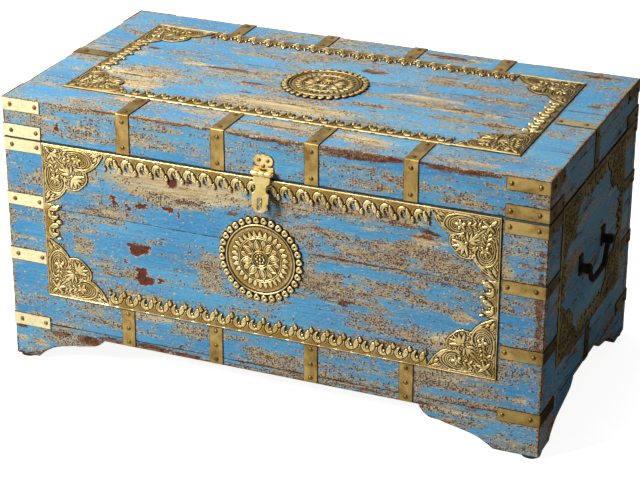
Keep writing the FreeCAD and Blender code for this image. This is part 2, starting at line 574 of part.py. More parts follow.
# The leaf is drawn hanging straight from its pin at the origin, then tilted out to
# where it rests against the tip of the staple.
leaf_top = "barrel_r+0.9"
leaf_plate = fuse("leaf_plate", [
    box("leaf_upper", "-leaf_w/2", "-leaf_t/2", "-leaf_l+leaf_end_r", "leaf_w", "leaf_t", "leaf_l-leaf_end_r-(%s)" % leaf_top),
    cyl("leaf_end", "0", "leaf_t/2", "-leaf_l+leaf_end_r", "leaf_end_r", "leaf_t", "-y"),
    box("leaf_neck", "-barrel_l/2+knuckle_l+knuckle_gap", "-leaf_t/2", "-12", "barrel_l-2*knuckle_l-2*knuckle_gap", "leaf_t", "12"),
    cyl("leaf_knuckle", "-barrel_l/2+knuckle_l+knuckle_gap", "0", "0", "barrel_r", "barrel_l-2*knuckle_l-2*knuckle_gap", "+x"),
])
leaf_cuts = fuse("leaf_cuts", [
    cyl("leaf_waist_l", "-leaf_w/2-3.5", "5", "-23", "9", "10", "-y"),
    cyl("leaf_waist_r", "leaf_w/2+3.5", "5", "-23", "9", "10", "-y"),
    box("leaf_side_l", "-leaf_w/2-10", "-5", "-leaf_l-5", "10+leaf_w/2-leaf_end_r", "10", "leaf_end_r+8"),
    box("leaf_side_r", "leaf_end_r", "-5", "-leaf_l-5", "10+leaf_w/2-leaf_end_r", "10", "leaf_end_r+8"),
    cyl("leaf_slot_top", "0", "5", "-slot_z+slot_l/2-slot_w/2", "slot_w/2", "10", "-y"),
    cyl("leaf_slot_low", "0", "5", "-slot_z-slot_l/2+slot_w/2", "slot_w/2", "10", "-y"),
    box("leaf_slot_mid", "-slot_w/2", "-5", "-slot_z-slot_l/2+slot_w/2", "slot_w", "10", "slot_l-slot_w"),
    cyl("leaf_bore", "-barrel_l", "0", "0", "hpin_r+fit", "2*barrel_l", "+x"),
])
leaf = cut("hasp_leaf", leaf_plate, leaf_cuts)
leaf.Placement = FreeCAD.Placement(V(0, 0, 0), FreeCAD.Rotation(V(1, 0, 0), -g("hasp_tilt")))
bind(leaf, "Placement.Base.x", HX)
bind(leaf, "Placement.Base.y", AXIS_Y)
bind(leaf, "Placement.Base.z", HZ)
node(leaf, "hasp_leaf")

# Staple: a bent wire loop, upright, on a small plate.
ST_Z = "hasp_z-slot_z*0.985-1"
legs = [
    cyl("staple_leg_%s" % n, HX, "-half_d+3", "%s%sstaple_r" % (ST_Z, s), "staple_wire",
        "staple_tip-staple_r-staple_wire+3", "-y")
    for n, s in (("low", "-"), ("top", "+"))
]
bow = doc.addObject("Part::Torus", "staple_bow")
bind(bow, "Radius1", "staple_r")
bind(bow, "Radius2", "staple_wire")
bow.Angle3 = 180
bow.Placement = FreeCAD.Placement(FreeCAD.Matrix(0, 0, -1, 0, 0, -1, 0, 0, -1, 0, 0, 0, 0, 0, 0, 1))
bind(bow, "Placement.Base.x", HX)
bind(bow, "Placement.Base.y", "-half_d-(staple_tip-staple_r-staple_wire)")
bind(bow, "Placement.Base.z", ST_Z)
staple_plate = box("staple_plate", "hasp_x-6", "-half_d-1.4", ST_Z + "-15", "12", "1.4", "23.8")
node(fuse("hasp_staple", legs + [bow, staple_plate]), "hasp_staple")

# ---------------------------------------------------------------- back hinges

HY = "half_d+hinge_off"


def hinge(tag, cx):
    left = "%s-hinge_w/2" % cx
    side_l = "(hinge_w-hinge_mid)/2-knuckle_gap/2"
    right = "%s+hinge_w/2-(%s)" % (cx, side_l)
    case_bits = [box("hinge_case_plate_" + tag, left, "half_d", "hinge_z-3-hinge_leaf", "hinge_w", "hinge_t", "hinge_leaf")]
    for i, x0 in enumerate((left, right), 1):
        case_bits.append(box("hinge_case_web_%s%d" % (tag, i), x0, "half_d", "hinge_z-4.6", side_l, "hinge_off-2", "4.6"))
        case_bits.append(cyl("hinge_case_knuckle_%s%d" % (tag, i), x0, HY, "hinge_z", "hinge_r", side_l, "+x"))
    case_leaf = cut("hinge_case_leaf_" + tag, fuse("hinge_case_all_" + tag, case_bits),
                    cyl("hinge_case_bore_" + tag, "%s-hinge_w" % cx, HY, "hinge_z", "hinge_pin+fit", "2*hinge_w", "+x"))
    mid_l = "hinge_mid-knuckle_gap"
    mid_x = "%s-(%s)/2" % (cx, mid_l)
    lid_bits = [
        box("hinge_lid_plate_" + tag, left, "half_d", "hinge_z+3", "hinge_w", "hinge_t", "hinge_leaf"),
        box("hinge_lid_web_" + tag, mid_x, "half_d", "hinge_z+0.5", mid_l, "hinge_off-2", "4.1"),
        cyl("hinge_lid_knuckle_" + tag, mid_x, HY, "hinge_z", "hinge_r", mid_l, "+x"),
    ]
    lid_leaf = cut("hinge_lid_leaf_" + tag, fuse("hinge_lid_all_" + tag, lid_bits),
                   cyl("hinge_lid_bore_" + tag, "%s-hinge_w" % cx, HY, "hinge_z", "hinge_pin+fit", "2*hinge_w", "+x"))
    pin = fuse("hinge_pin_" + tag, [
        cyl("hinge_pin_shaft_" + tag, "%s-hinge_w/2-1" % cx, HY, "hinge_z", "hinge_pin", "hinge_w+2", "+x"),
        cyl("hinge_pin_cap_l_" + tag, "%s-hinge_w/2-2.4" % cx, HY, "hinge_z", "hinge_pin+1.2", "2.2", "+x"),
        cyl("hinge_pin_cap_r_" + tag, "%s+hinge_w/2+0.2" % cx, HY, "hinge_z", "hinge_pin+1.2", "2.2", "+x"),
    ])
    return case_leaf, lid_leaf, pin


made = [hinge("l", "-hinge_x"), hinge("r", "hinge_x")]
node(group("hinge_case_leaves", [m[0] for m in made]), "hinge_case_leaves")
node(group("hinge_lid_leaves", [m[1] for m in made]), "hinge_lid_leaves")
node(group("hinge_pins", [m[2] for m in made]), "hinge_pins")
case_spots, lid_spots = [], []
for sx in (-1, 1):
    for dx, dz in ((-21, 12), (21, 12), (-21, 36), (21, 36)):
        x = sx * g("hinge_x") + dx
        y = HD + g("hinge_t")
        case_spots.append((x, y, g("hinge_z") - 3 - dz, "+y"))
        lid_spots.append((x, y, g("hinge_z") + 3 + dz, "+y"))
spread("hinge_lid_screws", screw, lid_spots)

# ---------------------------------------------------------------- drop handles

lugs = []
for side, sx in (("left", -1), ("right", 1)):
    way = "-x" if sx < 0 else "+x"
    for i, sy in enumerate((-1, 1), 1):
        n = "lug_%s_%d" % (side, i)
        yc = "%d*lug_y" % sy
        px = "half_w" if sx > 0 else "-half_w-lug_t"
        neck_x = "half_w" if sx > 0 else "-half_w-eye_off"
        solid = fuse(n + "_all", [
            box(n + "_plate", px, yc + "-lug_w/2", "lug_low", "lug_t", "lug_w", "lug_h"),
            box(n + "_neck", neck_x, yc + "-eye_l/2", "lug_z-eye_r*0.8", "eye_off", "eye_l", "1.6*eye_r"),
            cyl(n + "_eye", "%d*(half_w+eye_off)" % sx, yc + "-eye_l/2", "lug_z", "eye_r", "eye_l", "+y"),
        ])
        lugs.append(cut(n, solid, cyl(n + "_bore", "%d*(half_w+eye_off)" % sx, yc + "-2*eye_l", "lug_z",
                                      "bail_r+bail_fit", "4*eye_l", "+y")))
        case_spots.append((sx * (HW + g("lug_t")), sy * g("lug_y"), g("lug_low") + g("lug_h") - 6, way))
node(group("handle_lugs", lugs), "handle_lugs")
# One screw above each lug's eye, and four in each hinge leaf on the case.
spread("case_screws", screw, case_spots)


def bail(label, sx):
    """Round-bar drop handle: trunnion ends, two swept shoulders and a straight grip."""
    half, r, drop = g("bail_half"), g("bail_r"), g("bail_drop")
    x = sx * (HW + g("eye_off"))
    z = g("lug_z")
    r1, r2 = 9.0, 20.0
    turn = math.radians(68)
    inner = g("lug_y") - g("eye_l") / 2 - 1.0
    # lower half of the bar, from the trunnion at +Y down to the grip
    y0 = inner
    a = V(x, half, z)
    b = V(x, y0, z)
    c1 = V(x, y0, z - r1)
    m1 = c1 + V(0, -math.sin(turn / 2) * r1, math.cos(turn / 2) * r1)
    e1 = c1 + V(0, -math.sin(turn) * r1, math.cos(turn) * r1)
    d = V(0, -math.cos(turn), -math.sin(turn))
    used = r1 * (1 - math.cos(turn)) + r2 * (1 - math.cos(turn))
    run = (drop - used) / math.sin(turn)
    e2 = e1 + d * run
    n2 = V(0, -math.sin(turn), math.cos(turn))
    c2 = e2 + n2 * r2
    e3 = c2 + V(0, 0, -r2)
    m2 = c2 + V(0, math.sin(turn / 2) * r2, -math.cos(turn / 2) * r2)

    def my(p):
        return V(p.x, -p.y, p.z)

    edges = [
        Part.LineSegment(a, b).toShape(),
        Part.Arc(b, m1, e1).toShape(),
        Part.LineSegment(e1, e2).toShape(),
        Part.Arc(e2, m2, e3).toShape(),
        Part.LineSegment(e3, my(e3)).toShape(),
        Part.Arc(my(e3), my(m2), my(e2)).toShape(),
        Part.LineSegment(my(e2), my(e1)).toShape(),
        Part.Arc(my(e1), my(m1), my(b)).toShape(),
        Part.LineSegment(my(b), my(a)).toShape(),
    ]
    spine = doc.addObject("Part::Feature", label + "_path")
    spine.Shape = Part.Wire(edges)
    ring = doc.addObject("Part::Circle", label + "_section")
    bind(ring, "Radius", "bail_r")
    ring.Placement = FreeCAD.Placement(a, FreeCAD.Rotation(V(1, 0, 0), 90))
    sweep = doc.addObject("Part::Sweep", label)
    sweep.Sections = [ring]
    sweep.Spine = (spine, ["Edge%d" % (i + 1) for i in range(len(edges))])
    sweep.Solid = True
    sweep.Frenet = False
    print(label, "bar length", round(spine.Shape.Length, 2))
    return node(sweep, label), spine.Shape.Length


_, bar = bail("left_handle_bail", -1)
bail("right_handle_bail", 1)

# ---------------------------------------------------------------- lid stay

# The pivot on the lid and the stud on the case are equally far from the hinge line,
# so the arm turns half as fast as the lid and the stud runs along a straight slot.
oy, oz = HD + g("hinge_off"), g("hinge_z")
R = g("stay_r")
alpha = math.asin((g("stay_pz") - oz) / R)
beta = math.radians(g("stay_beta"))
py, pz = oy - R * math.cos(alpha), g("stay_pz")
sy_, sz_ = oy - R * math.cos(beta), oz - R * math.sin(beta)
closed = 2 * R * math.sin((alpha + beta) / 2)
opened = 2 * R * math.sin((alpha + beta + math.radians(g("stay_open"))) / 2)
lean = math.degrees(math.atan2(sy_ - py, pz - sz_))
print("stay pivot", round(py, 3), round(pz, 3), "stud", round(sy_, 3), round(sz_, 3),
      "closed", round(closed, 3), "open", round(opened, 3), "lean", round(lean, 3))
gap = 0.6
arm_len = opened + g("stud_r") + gap + 6
arm_bits = [
    box("stay_bar", "0", "-stay_w/2", "%f" % -(arm_len - g("stay_w") / 2), "stay_t", "stay_w", "%f" % (arm_len - g("stay_w") / 2)),
    cyl("stay_top_end", "0", "0", "0", "stay_w/2", "stay_t", "+x"),
    cyl("stay_low_end", "0", "0", "%f" % -(arm_len - g("stay_w") / 2), "stay_w/2", "stay_t", "+x"),
]
slot_a = closed - gap
slot_b = opened + gap
arm_cuts = [
    cyl("stay_eye", "-1", "0", "0", "stud_r+0.08", "stay_t+2", "+x"),
    cyl("stay_slot_a", "-1", "0", "%f" % -slot_a, "stay_slot/2", "stay_t+2", "+x"),
    cyl("stay_slot_b", "-1", "0", "%f" % -slot_b, "stay_slot/2", "stay_t+2", "+x"),
    box("stay_slot_run", "-1", "-stay_slot/2", "%f" % -slot_b, "stay_t+2", "stay_slot", "%f" % (slot_b - slot_a)),
]
arm = cut("lid_stay_arm", fuse("stay_solid", arm_bits), fuse("stay_voids", arm_cuts))
arm.Placement = FreeCAD.Placement(V(0, py, pz), FreeCAD.Rotation(V(1, 0, 0), lean))
bind(arm, "Placement.Base.x", "stay_x")
node(arm, "lid_stay_arm")
for label, yy, zz in (("lid_stay_pivot", py, pz), ("lid_stay_stud", sy_, sz_)):
    node(fuse(label, [
        cyl(label + "_shaft", "stay_x-2", "%f" % yy, "%f" % zz, "stud_r", "half_w-wall-stay_x+2", "+x"),
        cyl(label + "_head", "stay_x-3.5", "%f" % yy, "%f" % zz, "stud_head", "2.7", "+x"),
        cyl(label + "_seat", "stay_x+stay_t+0.8", "%f" % yy, "%f" % zz, "stud_head+2", "half_w-wall-stay_x-stay_t-0.8", "+x"),
    ]), label)

# ---------------------------------------------------------------- checks and files

doc.recompute()
bad = [o.Name for o in doc.Objects if "Invalid" in o.State or "Error" in o.State]
if bad:
    raise RuntimeError("failed objects: " + ", ".join(bad))
labels = [o.Label for o in nodes]
if len(set(labels)) != len(labels) or len(labels) > 60:
    raise RuntimeError("names clash or too many pieces: %d" % len(labels))
whole = FreeCAD.BoundBox()
for o in nodes:
    s = o.Shape
    if s.isNull() or not s.isValid() or not s.Solids:
        raise RuntimeError("bad shape: " + o.Label)
    whole.add(s.BoundBox)
    bb = s.BoundBox
    print("%-22s solids %3d vol %10.1f  x %8.2f %8.2f  y %8.2f %8.2f  z %7.2f %7.2f" % (
        o.Label, len(s.Solids), s.Volume, bb.XMin, bb.XMax, bb.YMin, bb.YMax, bb.ZMin, bb.ZMax))
print("nodes", len(nodes), "box", [round(v, 2) for v in (whole.XMin, whole.XMax, whole.YMin, whole.YMax, whole.ZMin, whole.ZMax)])
os.makedirs("parts", exist_ok=True)
for o in nodes:
    o.Shape.exportStep("parts/" + o.Label + ".step")
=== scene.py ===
import json
import math

import bpy
import numpy as np
from mathutils import Matrix, Vector

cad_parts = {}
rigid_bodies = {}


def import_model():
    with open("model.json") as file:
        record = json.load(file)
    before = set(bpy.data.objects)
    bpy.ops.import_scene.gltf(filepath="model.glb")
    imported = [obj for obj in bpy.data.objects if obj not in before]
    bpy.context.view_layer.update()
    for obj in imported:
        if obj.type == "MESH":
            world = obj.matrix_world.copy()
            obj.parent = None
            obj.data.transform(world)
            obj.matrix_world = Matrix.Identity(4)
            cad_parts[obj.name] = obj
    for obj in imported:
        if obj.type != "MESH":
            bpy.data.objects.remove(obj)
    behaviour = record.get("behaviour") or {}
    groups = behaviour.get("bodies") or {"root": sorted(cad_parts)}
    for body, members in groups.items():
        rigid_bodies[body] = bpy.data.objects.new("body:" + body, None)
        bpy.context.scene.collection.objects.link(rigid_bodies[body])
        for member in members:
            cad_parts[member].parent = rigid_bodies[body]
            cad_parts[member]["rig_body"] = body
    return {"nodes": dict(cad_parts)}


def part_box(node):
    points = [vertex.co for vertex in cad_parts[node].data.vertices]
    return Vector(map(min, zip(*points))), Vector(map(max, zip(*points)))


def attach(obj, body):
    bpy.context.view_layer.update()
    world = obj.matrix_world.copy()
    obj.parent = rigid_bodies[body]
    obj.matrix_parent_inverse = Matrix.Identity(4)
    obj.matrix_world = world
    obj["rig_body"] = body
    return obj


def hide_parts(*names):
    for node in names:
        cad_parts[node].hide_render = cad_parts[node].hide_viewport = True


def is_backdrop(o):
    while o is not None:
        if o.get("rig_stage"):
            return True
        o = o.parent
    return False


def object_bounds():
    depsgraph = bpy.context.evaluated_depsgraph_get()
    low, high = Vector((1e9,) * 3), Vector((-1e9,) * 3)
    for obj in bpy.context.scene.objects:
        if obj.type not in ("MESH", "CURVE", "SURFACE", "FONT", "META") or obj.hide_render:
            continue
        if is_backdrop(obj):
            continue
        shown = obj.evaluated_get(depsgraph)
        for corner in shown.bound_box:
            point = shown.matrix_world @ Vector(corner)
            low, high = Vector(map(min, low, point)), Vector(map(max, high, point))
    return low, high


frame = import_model()
cad_lo, cad_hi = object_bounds()
NODES = frame["nodes"]
MM = 0.001

# ------------------------------------------------------------------ small numeric tools

_tables = {}


def vnoise(u, v, seed):
    tab = _tables.get(seed)
    if tab is None:
        tab = _tables[seed] = np.random.default_rng(seed).random((256, 256))
    iu, iv = np.floor(u).astype(np.int64), np.floor(v).astype(np.int64)
    fu, fv = u - iu, v - iv
    fu = fu * fu * fu * (fu * (fu * 6 - 15) + 10)
    fv = fv * fv * fv * (fv * (fv * 6 - 15) + 10)
    a, b = tab[iu & 255, iv & 255], tab[(iu + 1) & 255, iv & 255]
    c, d = tab[iu & 255, (iv + 1) & 255], tab[(iu + 1) & 255, (iv + 1) & 255]
    return (a + (b - a) * fu) * (1 - fv) + (c + (d - c) * fu) * fv


def fbm(u, v, seed, octaves=4, gain=0.5):
    total, amp, norm = 0.0, 1.0, 0.0
    for k in range(octaves):
        total = total + amp * vnoise(u * 2**k + 17.3 * k, v * 2**k + 9.1 * k, seed + k)
        norm += amp
        amp *= gain
    return total / norm


def smooth(lo, hi, x):
    t = np.clip((x - lo) / (hi - lo), 0, 1)
    return t * t * (3 - 2 * t)


def blobs(x, y, items):
    """Soft ellipses (centre, radii, strength), the strongest one wins."""
    out = np.zeros(np.shape(x))
    for cx, cy, rx, ry, s in items:
        out = np.maximum(out, s * np.exp(-(((x - cx) / rx) ** 2 + ((y - cy) / ry) ** 2)))
    return out


def polygon_sd(x, y, pts):
    """Signed distance to a closed polygon, negative inside."""
    pts = np.asarray(pts, float)
    d = np.full(np.shape(x), 1e9)
    inside = np.zeros(np.shape(x), bool)
    for (x0, y0), (x1, y1) in zip(pts, np.roll(pts, -1, 0)):
        ex, ey = x1 - x0, y1 - y0
        t = np.clip(((x - x0) * ex + (y - y0) * ey) / max(ex * ex + ey * ey, 1e-9), 0, 1)
        d = np.minimum(d, np.hypot(x - x0 - t * ex, y - y0 - t * ey))
        if y0 != y1:
            cross = ((y0 > y) != (y1 > y)) & (x < (x1 - x0) * (y - y0) / (y1 - y0) + x0)
            inside ^= cross
    return np.where(inside, -d, d)


def curve(pts, n=8):
    """Catmull-Rom line through the points."""
    p = np.asarray(pts, float)
    p = np.vstack([2 * p[0] - p[1], p, 2 * p[-1] - p[-2]])
    t = np.linspace(0, 1, n, endpoint=False)[:, None]
    out = []
    for a, b, c, d in zip(p, p[1:], p[2:], p[3:]):
        out.append(0.5 * (2 * b + (c - a) * t + (2 * a - 5 * b + 4 * c - d) * t**2 + (3 * b - a - 3 * c + d) * t**3))
    return np.vstack(out + [p[-2][None]])


def line_d(x, y, pts):
    """Distance to a polyline, and how far along it (0 to 1)."""
    best, along = np.full(np.shape(x), 1e9), np.zeros(np.shape(x))
    n = len(pts) - 1
    for i, ((x0, y0), (x1, y1)) in enumerate(zip(pts, pts[1:])):
        ex, ey = x1 - x0, y1 - y0
        t = np.clip(((x - x0) * ex + (y - y0) * ey) / max(ex * ex + ey * ey, 1e-9), 0, 1)
        d = np.hypot(x - x0 - t * ex, y - y0 - t * ey)
        near = d < best
        best, along = np.where(near, d, best), np.where(near, (i + t) / n, along)
    return best, along


# ------------------------------------------------------------------ meshes


def new_object(name, co, faces, attrs, material, sharp=40.0):
    """faces: arrays of quads or triangles, or lists of indices. co in millimetres."""
    loops, totals = [], []
    for f in faces:
        if isinstance(f, np.ndarray) and f.ndim == 2:
            loops.append(f.ravel())
            totals.append(np.full(len(f), f.shape[1], np.int64))
        else:
            loops.append(np.asarray(f, np.int64))
            totals.append(np.array([len(f)], np.int64))
    loops, totals = np.concatenate(loops), np.concatenate(totals)
    me = bpy.data.meshes.new(name)
    me.vertices.add(len(co))
    me.vertices.foreach_set("co", (np.asarray(co) * MM).astype(np.float32).ravel())
    me.loops.add(len(loops))
    me.loops.foreach_set("vertex_index", loops.astype(np.int32))
    me.polygons.add(len(totals))
    me.polygons.foreach_set("loop_start", np.concatenate([[0], np.cumsum(totals)[:-1]]).astype(np.int32))
    me.polygons.foreach_set("use_smooth", np.ones(len(totals), bool))
    me.update(calc_edges=True)
    me.validate()
    for key, val in (attrs or {}).items():
        val = np.asarray(val, np.float32)
        if val.ndim == 1:
            me.attributes.new(key, "FLOAT", "POINT").data.foreach_set("value", val)
        elif val.shape[1] == 3:
            me.attributes.new(key, "FLOAT_VECTOR", "POINT").data.foreach_set("vector", val.ravel())
        else:
            me.attributes.new(key, "FLOAT_COLOR", "POINT").data.foreach_set("color", val.ravel())
    if sharp:
        me.set_sharp_from_angle(angle=math.radians(sharp))
    o = bpy.data.objects.new(name, me)
    bpy.context.scene.collection.objects.link(o)
    me.materials.append(material)
    return o


def stands_for(piece, node):
    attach(piece, NODES[node]["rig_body"])
    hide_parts(node)
    return piece


def box_mm(node):
    lo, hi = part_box(node)
    return np.array(lo) * 1000, np.array(hi) * 1000


def node_points(node):
    me = NODES[node].data
    co = np.empty(len(me.vertices) * 3)
    me.vertices.foreach_get("co", co)
    return co.reshape(-1, 3) * 1000


def islands(node):
    """Lowest and highest corner of each separate solid of a node."""
    co = node_points(node)
    me = NODES[node].data
    _, inv = np.unique(np.round(co / 0.005).astype(np.int64), axis=0, return_inverse=True)
    inv = inv.ravel()
    ed = np.empty(len(me.edges) * 2, np.int64)
    me.edges.foreach_get("vertices", ed)
    ed = inv[ed].reshape(-1, 2)
    lab = np.arange(inv.max() + 1)
    while True:
        m = np.minimum(lab[ed[:, 0]], lab[ed[:, 1]])
        new = lab.copy()
        np.minimum.at(new, ed[:, 0], m)
        np.minimum.at(new, ed[:, 1], m)
        new = new[new]
        if (new == lab).all():
            break
        lab = new
    of = lab[inv]
    return [(co[of == k].min(0), co[of == k].max(0)) for k in np.unique(of)]


EDGE = np.array([0, 0.13, 0.5, 1.0, 1.7, 2.6])


def lines(lo, hi, step, r):
    e = EDGE * r
    inner = np.linspace(lo + e[-1], hi - e[-1], max(2, int(round((hi - lo - 2 * e[-1]) / step)) + 1))
    return np.concatenate([lo + e[:-1], inner, (hi - e[:-1])[::-1]])


def slab(a, b0, b1, step, thick, r, place, flip, worn=None, relief=None, walls=8, chamfer=0.8, back="ngon"):
    """A board or strip: a dense outer face with rounded edges, side walls and a flat back.
    a are the columns, b0 and b1 the lower and upper edge at each column, place(a, b, depth) gives its points."""
    e = EDGE * r
    span = float(np.max(b1 - b0)) - 2 * e[-1]
    f = np.linspace(0, 1, max(2, int(round(span / step)) + 1))
    B = np.concatenate([
        b0[:, None] + e[None, :-1],
        (b0 + e[-1])[:, None] + (b1 - b0 - 2 * e[-1])[:, None] * f[None, :],
        (b1[:, None] - e[None, :-1])[:, ::-1]], axis=1)
    A = np.repeat(a[:, None], B.shape[1], 1)
    na, nb = A.shape
    da = np.minimum(A - a[0], a[-1] - A)
    db = np.minimum(B - b0[:, None], b1[:, None] - B)
    R = r * (1.0 if worn is None else worn(A, B))
    ta, tb = np.clip(1 - da / R, 0, 1), np.clip(1 - db / R, 0, 1)
    D = R - R * np.sqrt(np.clip(1 - ta**2 - tb**2, 0, 1))
    if relief is not None:
        D = D + relief(A, B) * smooth(0, 2 * r, np.minimum(da, db))
    idx = np.arange(na * nb).reshape(na, nb)
    loop = np.concatenate([idx[:, 0], idx[-1, 1:], idx[-2::-1, -1], idx[0, -2:0:-1]])
    oa = np.concatenate([np.zeros(na), np.ones(nb - 1), np.zeros(na - 1), -np.ones(nb - 2)])
    ob = np.concatenate([-np.ones(na), np.zeros(nb - 1), np.ones(na - 1), np.zeros(nb - 2)])
    la, lb, ld = A.ravel()[loop], B.ravel()[loop], D.ravel()[loop]
    n = len(loop)
    pa, pb, pd = [A.ravel()], [B.ravel()], [D.ravel()]
    ga, gb = [A.ravel()], [B.ravel()]
    side_a, side_b = [np.zeros(na * nb)], [np.zeros(na * nb)]
    quads = [np.stack([idx[:-1, :-1], idx[1:, :-1], idx[1:, 1:], idx[:-1, 1:]], -1).reshape(-1, 4)]
    prev, base = loop, na * nb
    for k in range(1, walls + 1):
        d = ld + (thick - chamfer - ld) * k / walls
        pa.append(la); pb.append(lb); pd.append(d)
        ga.append(la + oa * d); gb.append(lb + ob * d)
        side_a.append(oa); side_b.append(ob)
        cur = base + np.arange(n)
        quads.append(np.stack([np.roll(prev, -1), prev, cur, np.roll(cur, -1)], -1))
        prev, base = cur, base + n
    ca, cb = np.clip(la, a[0] + chamfer, a[-1] - chamfer), lb - ob * chamfer
    cb[oa != 0] = np.clip(cb[oa != 0], b0.min() + chamfer, b1.max() - chamfer)
    corner = [0, na - 1, na + nb - 2, 2 * na + nb - 3]
    cb[corner[1]] += 0.0
    cb[corner[2]] = lb[corner[2]] - chamfer
    pa.append(ca); pb.append(cb); pd.append(np.full(n, float(thick)))
    ga.append(ca); gb.append(cb)
    side_a.append(np.zeros(n)); side_b.append(np.zeros(n))
    cur = base + np.arange(n)
    quads.append(np.stack([np.roll(prev, -1), prev, cur, np.roll(cur, -1)], -1))
    faces = [q[:, ::-1] if flip else q for q in quads]
    total = base + n
    if back == "ngon":
        faces.append(list(cur) if flip else list(cur[::-1]))
        inner = np.concatenate([np.zeros(base, bool), np.ones(n, bool)])
    else:
        # a second grid closes the back of a bent strip
        full = np.empty((na, nb), np.int64)
        full[:] = -1
        flat = full.ravel()
        flat[loop] = cur
        inside = np.ones((na, nb), bool)
        inside[0], inside[-1], inside[:, 0], inside[:, -1] = False, False, False, False
        flat[inside.ravel()] = total + np.arange(inside.sum())
        full = flat.reshape(na, nb)
        pa.append(A[inside]); pb.append(B[inside]); pd.append(np.full(inside.sum(), float(thick)))
        ga.append(A[inside]); gb.append(B[inside])
        side_a.append(np.zeros(inside.sum())); side_b.append(np.zeros(inside.sum()))
        q = np.stack([full[:-1, :-1], full[:-1, 1:], full[1:, 1:], full[1:, :-1]], -1).reshape(-1, 4)
        faces.append(q[:, ::-1] if flip else q)
        inner = np.concatenate([np.zeros(base, bool), np.ones(n + inside.sum(), bool)])
    pa, pb, pd = np.concatenate(pa), np.concatenate(pb), np.concatenate(pd)
    return {
        "co": place(pa, pb, pd), "faces": faces, "a": pa, "b": pb, "d": pd, "inner": inner,
        "g": np.stack([np.concatenate(ga), np.concatenate(gb)], 1),
        "side_a": np.concatenate(side_a), "side_b": np.concatenate(side_b),
    }


# ------------------------------------------------------------------ materials


